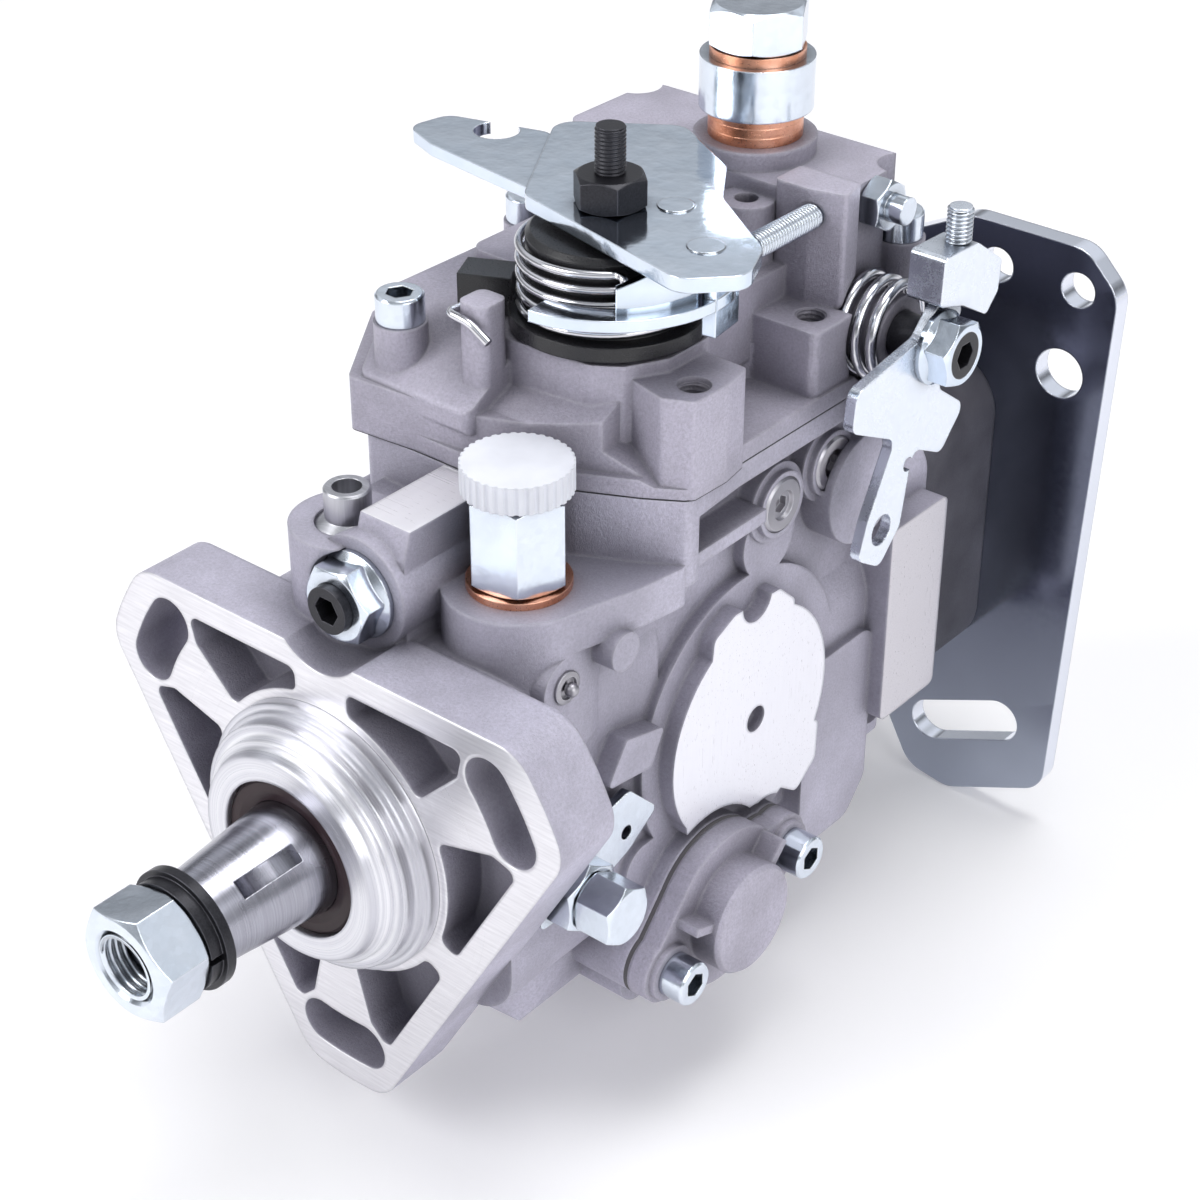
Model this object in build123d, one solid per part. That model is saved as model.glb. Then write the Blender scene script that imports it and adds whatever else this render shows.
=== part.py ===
from build123d import *
import os
from math import atan2, cos, degrees, pi, radians, sin, sqrt, tan

# Distributor-type diesel injection pump with its rear bracket. Units are millimetres.
# X points right seen from the drive end, Y points rearwards along the drive shaft, Z points up.
# The origin is on the shaft axis in the machined face of the mounting flange.

# Fits
FIT = 0.05
GAP = 0.3

# Mounting flange and pilot
FLANGE_THICK = 15.5
FLANGE_EDGE = 42.5
FLANGE_TIP_R = 66.0
FLANGE_CORNER_R = 9.0
BOLT_CIRCLE_R = 54.0
SLOT_WIDTH = 11.0
SLOT_SWEEP = 13.4
POCKET_DEPTH = 10.0
POCKET_EDGE = 36.5
HUB_R = 32.0
POCKET_CORNER_R = 2.0
PILOT_R = 30.0
PILOT_LENGTH = 12.0
NOSE_R = 22.75

# Drive shaft
SHAFT_R = 12.5
CONE_LENGTH = 26.0
CONE_END_R = 9.9
THREAD_R = 7.0
THREAD_LENGTH = 10.5
KEYWAY_WIDTH = 4.0
KEYWAY_R = 8.0
KEYWAY_ANGLE = 43.0
SEAL_R = 17.5
SEAL_LENGTH = 7.0
BUSH_R = 15.0
NUT_ACROSS = 22.0
NUT_HEIGHT = 11.5
DISC_R = 13.0
DISC_THICK = 2.2

# Vane feed pump
FEED_Y = 18.0
FEED_WIDTH = 16.0
FEED_RING_R = 28.0
FEED_BORE_R = 21.5
FEED_OFFSET = 2.4
FEED_ROTOR_R = 18.0
FEED_SHAFT_R = 10.0
FEED_PLATE = 4.0
VANE_THICK = 3.0

# Governor drive
GOVERNOR_Z = 51.0
GEAR_MODULE = 2.0
DRIVE_TEETH = 31
GEAR_Y = 54.0
GEAR_WIDTH = 6.0
GOVERNOR_SHAFT_R = 5.0
CARRIER_R = 20.0
SLEEVE_R = 6.5
TRUNNION_R = 1.3
FLYWEIGHT_WIDTH = 10.4

# Roller ring, cam plate, plunger and collar
RING_Y = 62.0
RING_LENGTH = 16.0
RING_R = 27.0
RING_BORE_R = 19.0
ROLLER_R = 4.5
ROLLER_WIDTH = 6.0
ROLLER_SINK = 1.0
CAM_R = 25.5
CAM_LIFT = 2.2
CAM_THICK = 8.5
LOBES = 6
PLUNGER_R = 6.0
CLAW_WIDTH = 8.0
DISC_WIDTH = 8.0
SPRING_OFFSET = 18.8
COLLAR_Y = 99.0
COLLAR_LENGTH = 11.0
COLLAR_R = 12.0

# Timing device
TIMING_Y = 70.0
TIMING_Z = -38.0
PISTON_R = 10.0
PISTON_LENGTH = 52.0
PISTON_BORE = 14.0
PISTON_TRAVEL = 4.0

# Housing
SIDE_X = 38.0
UPPER_X = 35.0
MILLED_X = 42.0
NUMBER_X = 44.0
SEAM_Z = 66.5
SEAM_FLANGE = 5.0
FRONT_BLOCK_Y = 62.5
WALL = 6.0
FRONT_Y = 40.0
REAR_Y = 155.0
BASE_Z = -59.5
MILLED_Y = 86.5
MILLED_R = 27.0
INLET_X = 22.5
INLET_Y = 33.3
INLET_TOP_Z = 52.0
VALVE_X = -10.0
VALVE_Y = 20.0
VALVE_TOP_Z = 60.0

# Distributor head and bracket
HEAD_DEPTH = 30.0
HEAD_HALF = 37.0
BARREL_R = 24.0
BARREL_Y = 118.0
HEAD_SCREW_OFFSET = 29.0
OUTLETS = 6
OUTLET_CIRCLE_R = 22.0
OUTLET_ACROSS = 16.0
BRACKET_THICK = 5.0
BRACKET_WINDOW_R = 33.0
BRACKET_HOLES = [(52.5, 47.5, 6.0), (55.0, 68.9, 4.2), (33.9, 69.0, 4.2)]
BRACKET_SLOT = (36.3, -55.6)
BRACKET_SLOT_TILT = 23.0
BRACKET_SLOT_LENGTH = 32.0
BRACKET_SLOT_WIDTH = 11.0

# Governor cover
BAND_Z = 78.5
DECK_Z = 88.0
LEFT_DECK_Z = 89.5
TURRET_Z = 92.0
REAR_DECK_Z = 108.0
COVER_REAR_Y = 146.0
COVER_WALL = 5.0
CAVITY_STEP_Y = 60.0
CAVITY_STEP_Z = 75.0
FRONT_THREAD_R = 3.4
FRONT_THREAD_AT = (39.8, 65.0)
OVERFLOW_X = 7.0
OVERFLOW_Y = 127.0
OVERFLOW_TOP_Z = 112.0

COPPER = 2.0
BANJO = 11.0
SPEED_SCREW = 4.6
SPEED_SCREW_AT = (32.0, 104.5)
STOP_BOSS_Z = 110.0

# Throttle group
THROTTLE_X = 14.0
THROTTLE_Y = 71.0
CONTROL_SHAFT_R = 5.0
CONTROL_THREAD_R = 2.8
SEAT_R = 20.0
DRUM_R = 16.5
DRUM_TOP_Z = 111.5
LEVER_Z = 113.0
LEVER_THICK = 3.0
THROTTLE_WIRE = 1.7

# Stop lever
STOP_Y = 125.0
STOP_Z = 78.5
STOP_SHAFT_R = 5.0
STOP_LEVER_X = 53.5
STOP_LEVER_THICK = 2.5
STOP_WALL_X = 35.0
STOP_WIRE = 2.4
STOP_COIL_R = 10.3
STOP_STUD_R = 2.3

# Screws
M6 = 6.0
M8 = 8.0


def along_y(sketch, y0, y1):
    """Extrudes a sketch drawn in X and Z from y0 to y1."""
    plane = Plane(origin=(0, y1, 0), x_dir=(1, 0, 0), z_dir=(0, -1, 0))
    return extrude(plane * sketch, amount=y1 - y0, dir=(0, -1, 0))


def along_x(sketch, x0, x1):
    """Extrudes a sketch drawn in Y and Z from x0 to x1."""
    plane = Plane(origin=(x0, 0, 0), x_dir=(0, 1, 0), z_dir=(1, 0, 0))
    return extrude(plane * sketch, amount=x1 - x0, dir=(1, 0, 0))


def along_z(sketch, z0, z1):
    """Extrudes a sketch drawn in X and Y from z0 to z1."""
    return extrude(Plane.XY.offset(z0) * sketch, amount=z1 - z0, dir=(0, 0, 1))


def rod_x(radius, x0, x1, y, z):
    return along_x(Pos(y, z) * Circle(radius), x0, x1)


def rod_y(radius, y0, y1, x=0.0, z=0.0):
    return along_y(Pos(x, z) * Circle(radius), y0, y1)


def rod_z(radius, z0, z1, x, y):
    return along_z(Pos(x, y) * Circle(radius), z0, z1)


def outline(points, radius=0.0):
    """A closed outline through points, with all its corners rounded to one radius."""
    shape = Polygon(*points, align=None)
    return fillet(shape.vertices(), radius) if radius else shape


def block(x0, x1, y0, y1, z0, z1, radius=0.0):
    """A box whose upright edges are rounded."""
    return along_z(outline([(x0, y0), (x1, y0), (x1, y1), (x0, y1)], radius), z0, z1)


def turned(points):
    """A turned solid on the Z axis, from (radius, height) points."""
    return revolve(Plane.XZ * Polygon(*points, align=None), Axis.Z)


def pointing_y(x, y, z):
    """Places a solid built along Z so that it points along +Y."""
    return Pos(x, y, z) * Rot(-90, 0, 0)


def pointing_front(x, y, z):
    """Places a solid built along Z so that it points along -Y."""
    return Pos(x, y, z) * Rot(90, 0, 0)


def pointing_x(x, y, z):
    return Pos(x, y, z) * Rot(0, 90, 0)


def pointing_left(x, y, z):
    return Pos(x, y, z) * Rot(0, -90, 0)


def hexagon(across, height):
    """A hexagonal prism from z = 0, its corners turned down at both ends."""
    corner = across / sqrt(3)
    flat = 0.96 * across / 2
    slope = (corner - flat) * tan(radians(30))
    limit = turned([(0, 0), (flat, 0), (corner, slope), (corner, height - slope), (flat, height), (0, height)])
    return extrude(RegularPolygon(across / 2, 6, major_radius=False), amount=height) & limit


def ring(outer, inner, height):
    """A flat ring from z = 0."""
    return extrude(Circle(outer) - Circle(inner), amount=height)


def flange_nut(across, height, bore):
    """A hexagon nut with a round flange at z = 0."""
    flange = 0.16 * height
    collar = turned([(0, 0), (0.62 * across, 0), (0.62 * across, flange), (0.5 * across, 2 * flange), (0, 2 * flange)])
    body = collar + Pos(0, 0, flange) * hexagon(across, height - flange)
    return body - Cylinder(bore, 3 * height)


def cap_screw(size, length):
    """A socket cap screw with its seat at z = 0 and its shank below."""
    head_r = 0.8333 * size
    edge = 0.08 * size
    profile = [(0, -length), (size / 2 - edge, -length), (size / 2, edge - length), (size / 2, 0), (head_r, 0),
               (head_r, size - edge), (head_r - edge, size), (0, size)]
    socket = extrude(Plane.XY.offset(size) * RegularPolygon(0.42 * size, 6, major_radius=False), amount=-0.55 * size)
    return turned(profile) - socket


def coil(radius, wire, turns, pitch):
    """A round-wire coil that starts at z = 0 on the X axis and climbs."""
    path = Helix(pitch, pitch * turns, radius)
    section = Plane(origin=path @ 0, z_dir=path % 0) * RegularPolygon(wire / 2, 6)
    return sweep(section, path=path, is_frenet=True)


def wire_leg(start, end, wire):
    """A straight piece of spring wire."""
    path = Line(start, end)
    return sweep(Plane(origin=path @ 0, z_dir=path % 0) * RegularPolygon(wire / 2, 6), path=path)


def gear(module, teeth, width, bore, first_angle):
    """A spur gear from z = 0, with a tooth centred on first_angle in degrees."""
    pitch_r = module * teeth / 2
    tip_r = pitch_r + 0.9 * module
    root_r = pitch_r - 1.15 * module
    step = 2 * pi / teeth
    flank = [(root_r, -0.34), (pitch_r, -0.225), (tip_r, -0.11), (tip_r, 0.11), (pitch_r, 0.225), (root_r, 0.34)]
    points = []
    for k in range(teeth):
        middle = radians(first_angle) + k * step
        points += [(r * cos(middle + a * step), r * sin(middle + a * step)) for r, a in flank]
    return extrude(Polygon(*points, align=None) - Circle(bore), amount=width)


# Values that several pieces share
SEAL_Y = 1.5 - PILOT_LENGTH
DRIVE_PITCH_R = GEAR_MODULE * DRIVE_TEETH / 2
CARRIER_TEETH = round(2 * GOVERNOR_Z / GEAR_MODULE) - DRIVE_TEETH
FEED_END_Y = FEED_Y + FEED_WIDTH
FEED_PLATE_END_Y = FEED_END_Y + FEED_PLATE
CORE_BORE_R = RING_R + FIT
ROLLER_Y = RING_Y + RING_LENGTH - ROLLER_SINK
CAM_Y = ROLLER_Y + ROLLER_R + 0.1
CAM_END_Y = CAM_Y + CAM_THICK
PUMP_SPRING_Y = CAM_END_Y + GAP
CARRIER_Y = GEAR_Y + GEAR_WIDTH
SLEEVE_Y = CARRIER_Y + 8.8
TRUNNION_AT = CARRIER_R - 6
TRUNNION_Y = CARRIER_Y + 5
EAR = 2.4
PIVOT_Y = COLLAR_Y + COLLAR_LENGTH / 2
PIVOT_Z = 30.0
SPRING_Z = 64.0
ECCENTRIC_Z = 70.0
LEVER_FACE_Y = PIVOT_Y - 1.5
HEAD_END_Y = REAR_Y + HEAD_DEPTH
BRACKET_END_Y = HEAD_END_Y + BRACKET_THICK
CONE_Y = -PILOT_LENGTH
CONE_END_Y = CONE_Y - CONE_LENGTH
THREAD_END_Y = CONE_END_Y - THREAD_LENGTH
SPLIT_THICK = DISC_THICK + 0.6
CHAMBER_REAR_Y = 140.0
CHAMBER_X = 30.0
CHAMBER_Z = 22.0
CORNERS = [(side * HEAD_SCREW_OFFSET, up * HEAD_SCREW_OFFSET) for side in (-1, 1) for up in (-1, 1)]
SEAM_PLAN = [(-24, FRONT_Y), (1, FRONT_Y), (24, 48), (36, 54), (44, 59), (42.5, 77), (42.5, COVER_REAR_Y),
             (-42.5, COVER_REAR_Y), (-42.5, 62)]
COVER_SCREWS = [(-20.0, 47.0, 90.0), (35.5, 140.5, 92.0), (-35.5, 140.5, 92.0), (-36.0, 104.0, DECK_Z)]
COVER_SCREW_DEPTH = 10.0
TIMING_SCREWS = [(-20.5, -4.5), (20.5, 4.5)]
PIVOT_BOLTS = [(95.0, 48.6), (113.0, 50.7)]
PIVOT_HEAD_R = 6.2
PIVOT_SEAT_X = SIDE_X + 0.5
STOP_CLEAR_R = STOP_COIL_R + STOP_WIRE / 2 + 0.6
BALL_PLUG = (29.4, 36.0)
TAB_BOLT = (25.0, -8.0)


def flange_sketch():
    triangle = RegularPolygon(FLANGE_EDGE, 3, major_radius=False, rotation=30)
    plate = triangle & Circle(FLANGE_TIP_R)
    return fillet(plate.vertices(), FLANGE_CORNER_R)


def pocket_sketch():
    """The six blind pockets between the hub, the outer web, the slot webs and the ribs."""
    field = RegularPolygon(POCKET_EDGE, 3, major_radius=False, rotation=30) - Circle(HUB_R)
    web = Polygon((0, -4.7), (HUB_R, -4.7), (46, -8.3), (50, -12.5), (90, -14), (90, 14), (50, 12.5), (46, 8.3),
                  (HUB_R, 4.7), (0, 4.7), align=None)
    for angle in (30, 150, 270):
        field -= Rot(0, 0, angle) * web
    for angle, width in ((90, 14.0), (210, 8.0), (330, 8.0)):
        field -= Rot(0, 0, angle) * Pos(HUB_R, 0) * Rectangle(2 * HUB_R, width)
    rounded = []
    for face in field.faces():
        rounded += offset(offset(face, -POCKET_CORNER_R), POCKET_CORNER_R).faces()
    return Sketch(children=rounded)


def slot_sketch(angle):
    arc = CenterArc((0, 0), BOLT_CIRCLE_R, angle - SLOT_SWEEP / 2, SLOT_SWEEP)
    return SlotArc(arc, SLOT_WIDTH)


def pilot():
    """The stepped turned pilot in front of the flange, on the Z axis with z = 0 in the flange face."""
    step = PILOT_LENGTH / 4
    return turned([(0, -2), (PILOT_R, -2), (PILOT_R, step), (PILOT_R - 1.5, step), (PILOT_R - 1.5, step + 1),
                   (PILOT_R - 2.5, step + 1), (PILOT_R - 2.5, 2 * step + 1), (PILOT_R - 5, 2 * step + 1),
                   (PILOT_R - 5, 3 * step), (NOSE_R + 1, 3 * step + 0.5), (NOSE_R, PILOT_LENGTH), (0, PILOT_LENGTH)])


def mounting_flange():
    body = along_y(flange_sketch(), 0, FLANGE_THICK)
    body -= along_y(pocket_sketch(), -1, POCKET_DEPTH)
    body += pointing_front(0, 0, 0) * pilot()
    for angle in (30, 150, 270):
        body -= along_y(slot_sketch(angle), -1, FLANGE_THICK + 1)
    body -= rod_y(12.5, -1, FLANGE_THICK - 3, 0, GOVERNOR_Z)
    return body


def housing_shell():
    """The outer form of the casting behind the flange."""
    low = -40.0
    front = outline([(-SIDE_X + 2, low), (SIDE_X - 2, low), (SIDE_X - 2, 41), (-SIDE_X + 2, 41)], 12)
    neck = outline([(-UPPER_X, 0), (UPPER_X, 0), (UPPER_X, 52), (-UPPER_X, 52)], 8)
    main = outline([(-UPPER_X, low), (UPPER_X, low), (UPPER_X, SEAM_Z - 1), (-UPPER_X, SEAM_Z - 1)], 4)
    rear = outline([(-SIDE_X, -36), (SIDE_X, -36), (SIDE_X, 38), (-SIDE_X, 38)], 8)
    body = along_y(front, FLANGE_THICK - 2, FRONT_Y + 20)
    body += along_y(neck, FRONT_Y, FRONT_Y + 20)
    body += along_y(main, FRONT_Y + 16, COVER_REAR_Y)
    body += rod_y(SIDE_X + 1, FRONT_Y + 16, COVER_REAR_Y) & block(-SIDE_X, SIDE_X, 0, REAR_Y, low, SIDE_X)
    body += rod_x(MILLED_R + 7, -SIDE_X, SIDE_X, MILLED_Y, 0)
    body += along_y(rear, COVER_REAR_Y - 4, REAR_Y)
    seam = outline(SEAM_PLAN, 2.5)
    body += along_z(seam, SEAM_Z - SEAM_FLANGE, SEAM_Z)
    body += along_z(seam, 47, SEAM_Z) & block(-60, 60, 0, FRONT_BLOCK_Y, 47, SEAM_Z)
    return body + keel()


def keel():
    """The lower web between the flange and the timing device, tapered in all three views."""
    front = outline([(-25, BASE_Z + 1), (25, BASE_Z + 1), (30, -30), (-30, -30)], 8)
    start = FLANGE_THICK - 2
    side = outline([(start, -25), (start, -40), (30, BASE_Z + 2), (TIMING_Y, BASE_Z), (TIMING_Y, -25)], 2)
    plan = outline([(-14, start), (14, start), (26, 32), (32, TIMING_Y), (-32, TIMING_Y), (-26, 32)])
    return along_y(front, 0, TIMING_Y) & along_x(side, -40, 40) & along_z(plan, -70, -20)


def timing_block():
    """The cross cylinder of the timing device below the roller ring."""
    half = TIMING_Z - BASE_Z
    shape = outline([(TIMING_Y - 24, BASE_Z + 3), (TIMING_Y + 12, BASE_Z), (TIMING_Y + 28, TIMING_Z + 2),
                     (TIMING_Y + 28, TIMING_Z + half), (TIMING_Y - 22, TIMING_Z + half)], 6)
    body = along_x(shape, -SIDE_X, SIDE_X)
    return body + along_x(timing_plate(), -MILLED_X, MILLED_X)


def milled_face():
    """The milled side face, notched above and cut back round the timing cover."""
    face = Pos(MILLED_Y - 1.5, 0) * Circle(MILLED_R)
    face += outline([(70, 18), (71, 27.5), (78, 30.5), (93.5, 29.5), (99.5, 24), (95, 15), (78, 15)], 2)
    face += outline([(96, -14), (110.5, -12), (110, -23), (103, -28.5), (94, -22)], 2)
    face += outline([(62, -10), (64.5, -25), (76, -24), (76, -10)], 2)
    face -= Pos(MILLED_Y - 1, 30.5) * Circle(5)
    return face - offset(timing_plate(), 2.5)


def housing_bosses():
    """Everything that stands out from the casting."""
    rib = outline([(14.5, 30), (14.5, 60), (16.5, 66), (46, 66), (46, 30)])
    parts = along_x(rib, -3, 10)
    parts += rod_y(12, 12, FRONT_Y + 2, 0, GOVERNOR_Z)
    parts += rod_z(12, 30, VALVE_TOP_Z, VALVE_X, VALVE_Y)
    parts += block(VALVE_X - 10, VALVE_X + 4, VALVE_Y, FRONT_Y + 2, 34, VALVE_TOP_Z - 3, 2)
    parts += rod_z(15.5, 20, INLET_TOP_Z, INLET_X, INLET_Y)
    web = outline([(INLET_X, INLET_Y + 12), (INLET_X - 8, INLET_Y - 10), (INLET_X + 14, INLET_Y - 7),
                   (42, 46), (44, 60), (30, 62)], 3)
    parts += along_z(web, INLET_TOP_Z - 9, INLET_TOP_Z)
    parts += along_x(milled_face(), -MILLED_X, MILLED_X)
    number = outline([(133, -25), (REAR_Y, -25), (REAR_Y, 26), (133, 26)], 2)
    parts += along_x(number, -NUMBER_X, NUMBER_X)
    for y, z in PIVOT_BOLTS:
        parts += rod_x(9, -SIDE_X - 1, SIDE_X + 1, y, z)
        parts += rod_x(7.4, -SIDE_X - 2.5, SIDE_X + 2.5, y, z)
    parts += block(30, MILLED_X + 1, FRONT_BLOCK_Y - 2, PIVOT_BOLTS[0][0] - 9, 49.5, 52.5)
    parts += rod_x(9, 20, SIDE_X, 94.5, 40)
    parts += rod_x(3.5, 30, MILLED_X, 58.6, 47.1)
    parts += rod_x(13, 20, MILLED_X + 1, 122, 42)
    for x, y, seat in COVER_SCREWS[1:]:
        parts += rod_z(7, 50, SEAM_Z, x, y)
    foot = outline([(108, 0), (108, -42), (114, -50), (127, -50), (134, -42), (134, 0)], 5)
    for side in (-1, 1):
        parts += along_x(foot, min(side * 18, side * 40), max(side * 18, side * 40))
    parts += rod_x(4.2, 25, MILLED_X + 1, 41, 40.5)
    parts += along_x(outline([(38, 8), (52, 6), (56, 14), (44, 17)], 1), 30, 41)
    parts += rod_x(8, 20, SIDE_X + 1, *TAB_BOLT)
    parts += rod_x(6.5, 20, SIDE_X - 0.5, *BALL_PLUG)
    return parts


def pump_housing():
    body = mounting_flange() + housing_shell() + timing_block() + housing_bosses()
    body -= rod_y(SHAFT_R + 1, -20, FEED_Y + 1)
    body -= rod_y(SEAL_R + FIT, SEAL_Y - 5, SEAL_Y + SEAL_LENGTH)
    body -= rod_y(BUSH_R + FIT, SEAL_Y + SEAL_LENGTH - 0.01, FEED_Y - 2)
    body -= rod_y(FEED_RING_R + FIT, FEED_Y, FEED_PLATE_END_Y + 1)
    body -= rod_y(DRIVE_PITCH_R + GEAR_MODULE + 2, FEED_PLATE_END_Y, GEAR_Y + GEAR_WIDTH + 2)
    body -= rod_y(CORE_BORE_R, FEED_PLATE_END_Y, REAR_Y + 1)
    chamber = outline([(-20, FRONT_Y + WALL), (4, FRONT_Y + WALL), (CHAMBER_X - 2, 55.5), (CHAMBER_X, 64),
                       (CHAMBER_X, CHAMBER_REAR_Y), (-CHAMBER_X, CHAMBER_REAR_Y), (-CHAMBER_X, 66)], 2)
    body -= along_z(chamber, CHAMBER_Z, SEAM_Z + 1)
    body -= rod_x(PISTON_R + FIT, -MILLED_X - 1, MILLED_X + 1, TIMING_Y, TIMING_Z)
    body -= block(-9, 9, TIMING_Y - 4, TIMING_Y + 4, TIMING_Z, -RING_R + 2)
    body -= rod_y(9.5, -1, 12, 0, GOVERNOR_Z)
    body -= rod_y(GOVERNOR_SHAFT_R + FIT, 0, 60, 0, GOVERNOR_Z)
    body -= rod_z(6.8 + FIT, VALVE_TOP_Z - 2, VALVE_TOP_Z + 8, VALVE_X, VALVE_Y)
    body -= rod_z(4.5 + FIT, 30, VALVE_TOP_Z, VALVE_X, VALVE_Y)
    body -= rod_z(7 + FIT, INLET_TOP_Z - 14, INLET_TOP_Z + 1, INLET_X, INLET_Y)
    for x, z in CORNERS:
        body -= rod_y(M8 / 2 + FIT, REAR_Y - 15, REAR_Y + 1, x, z)
    for y, z in PIVOT_BOLTS:
        body -= rod_x(PIVOT_HEAD_R + FIT, PIVOT_SEAT_X, SIDE_X + 3, y, z)
        body -= rod_x(PIVOT_HEAD_R + FIT, -SIDE_X - 3, -PIVOT_SEAT_X, y, z)
        body -= rod_x(4 + FIT, -SIDE_X - 1, SIDE_X + 1, y, z)
    for dy, dz in TIMING_SCREWS:
        body -= rod_x(M6 / 2 + FIT, MILLED_X - 14, MILLED_X + 1, TIMING_Y + dy, TIMING_Z + dz)
        body -= rod_x(M6 / 2 + FIT, -MILLED_X - 1, 14 - MILLED_X, TIMING_Y + dy, TIMING_Z + dz)
    for x, y, seat in COVER_SCREWS:
        body -= rod_z(M6 / 2 + FIT, SEAM_Z - COVER_SCREW_DEPTH - 1, SEAM_Z + 1, x, y)
    body -= rod_x(3 + FIT, MILLED_X - 3, MILLED_X + 1, MILLED_Y, 0)
    body -= rod_x(4 + FIT, SIDE_X - 8, SIDE_X + 2, *TAB_BOLT)
    body -= rod_x(3.5 + FIT, SIDE_X - 6, SIDE_X + 1, *BALL_PLUG)
    return body - rod_x(STOP_CLEAR_R, STOP_WALL_X, 60, STOP_Y, STOP_Z)


def shaft_seal():
    profile = [(SHAFT_R + FIT, 0), (SHAFT_R + FIT, 1.2), (SHAFT_R + 1.6, 2.2), (SHAFT_R + 1.6, SEAL_LENGTH),
               (SEAL_R, SEAL_LENGTH), (SEAL_R, 0), (SEAL_R - 0.8, -0.6), (SHAFT_R + 2.2, -0.6)]
    return pointing_y(0, SEAL_Y, 0) * turned(profile)


def shaft_bush():
    return pointing_y(0, SEAL_Y + SEAL_LENGTH, 0) * ring(BUSH_R, SHAFT_R + FIT, FEED_Y - 2 - SEAL_Y - SEAL_LENGTH)


def keyway():
    """The half-moon keyway of the cone."""
    return Rot(0, KEYWAY_ANGLE, 0) * rod_x(KEYWAY_R, -KEYWAY_WIDTH / 2, KEYWAY_WIDTH / 2, CONE_Y - 12, SHAFT_R + 2)


def drive_shaft():
    claw_y = RING_Y + 4
    profile = [(0, THREAD_END_Y), (THREAD_R - 0.8, THREAD_END_Y), (THREAD_R, THREAD_END_Y + 0.8),
               (THREAD_R, CONE_END_Y), (CONE_END_R, CONE_END_Y), (SHAFT_R, CONE_Y), (SHAFT_R, FEED_Y - GAP),
               (FEED_SHAFT_R, FEED_Y - GAP), (FEED_SHAFT_R, GEAR_Y + GEAR_WIDTH + 1), (14, GEAR_Y + GEAR_WIDTH + 1),
               (14, claw_y), (0, claw_y)]
    body = pointing_y(0, 0, 0) * turned(profile)
    claw = along_y(Rectangle(28, CLAW_WIDTH), claw_y - 1, claw_y + DISC_WIDTH / 2 - 0.1)
    body += (claw & rod_y(14, claw_y - 1, claw_y + DISC_WIDTH)) - rod_y(8.5, claw_y - 1, claw_y + DISC_WIDTH)
    return body - keyway()


def shaft_washers():
    flat = pointing_front(0, CONE_END_Y, 0) * ring(DISC_R, THREAD_R + FIT, DISC_THICK)
    split = ring(DISC_R - 1.2, THREAD_R + FIT, SPLIT_THICK) - Pos(DISC_R, 0, 0) * Box(DISC_R, 1.6, 20)
    return [flat, pointing_front(0, CONE_END_Y - DISC_THICK, 0) * split]


def shaft_nut():
    seat = CONE_END_Y - DISC_THICK - SPLIT_THICK
    body = hexagon(NUT_ACROSS, NUT_HEIGHT) - Cylinder(THREAD_R + FIT, 4 * NUT_HEIGHT)
    body -= Pos(0, 0, NUT_HEIGHT - 0.5) * Cone(THREAD_R, THREAD_R + 1.2, 1.02)
    return pointing_front(0, seat, 0) * Rot(0, 0, 12) * body


def feed_pump_ring():
    body = rod_y(FEED_RING_R, FEED_Y, FEED_END_Y)
    return body - rod_y(FEED_BORE_R, FEED_Y, FEED_END_Y, 0, FEED_OFFSET)


def feed_pump_rotor():
    body = rod_y(FEED_ROTOR_R, FEED_Y + FIT, FEED_END_Y - FIT) - rod_y(FEED_SHAFT_R, FEED_Y, FEED_END_Y)
    for angle in (45, 135, 225, 315):
        slot = Rot(0, 0, angle) * Pos(FEED_ROTOR_R, 0) * Rectangle(13, VANE_THICK)
        body -= along_y(slot, FEED_Y, FEED_END_Y)
    return body


def feed_pump_vanes():
    length = 6.2
    vane = Pos(FEED_ROTOR_R + 0.3 - length / 2, 0) * Rectangle(length, VANE_THICK - 2 * FIT)
    return [along_y(Rot(0, 0, angle) * vane, FEED_Y + FIT, FEED_END_Y - FIT) for angle in (45, 135, 225, 315)]


def feed_pump_plate():
    body = rod_y(FEED_RING_R, FEED_END_Y, FEED_PLATE_END_Y) - rod_y(FEED_SHAFT_R + 0.5, FEED_END_Y, FEED_PLATE_END_Y)
    for side in (-1, 1):
        window = outline([(side * 12, -8), (side * 18, -8), (side * 18, 8), (side * 12, 8)], 2)
        body -= along_y(window, FEED_END_Y, FEED_PLATE_END_Y)
    return body


def governor_drive_gear():
    body = gear(GEAR_MODULE, DRIVE_TEETH, GEAR_WIDTH, FEED_SHAFT_R, 90)
    for k in range(4):
        body -= Rot(0, 0, 45 + 90 * k) * Pos(20, 0, 0) * Cylinder(5, 4 * GEAR_WIDTH)
    return Pos(0, GEAR_Y + GEAR_WIDTH, 0) * Rot(90, 0, 0) * body


def cross_disc():
    """The sliding disc between shaft and cam plate, with two slots on each face."""
    start = RING_Y + 4 + 0.1
    end = start + DISC_WIDTH - 0.2
    middle = (start + end) / 2
    body = rod_y(14, start, end) - rod_y(8.5, start, end)
    body -= along_y(Rectangle(40, CLAW_WIDTH + 0.2), start - 1, middle)
    return body - along_y(Rectangle(CLAW_WIDTH + 0.2, 40), middle, end + 1)


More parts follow.
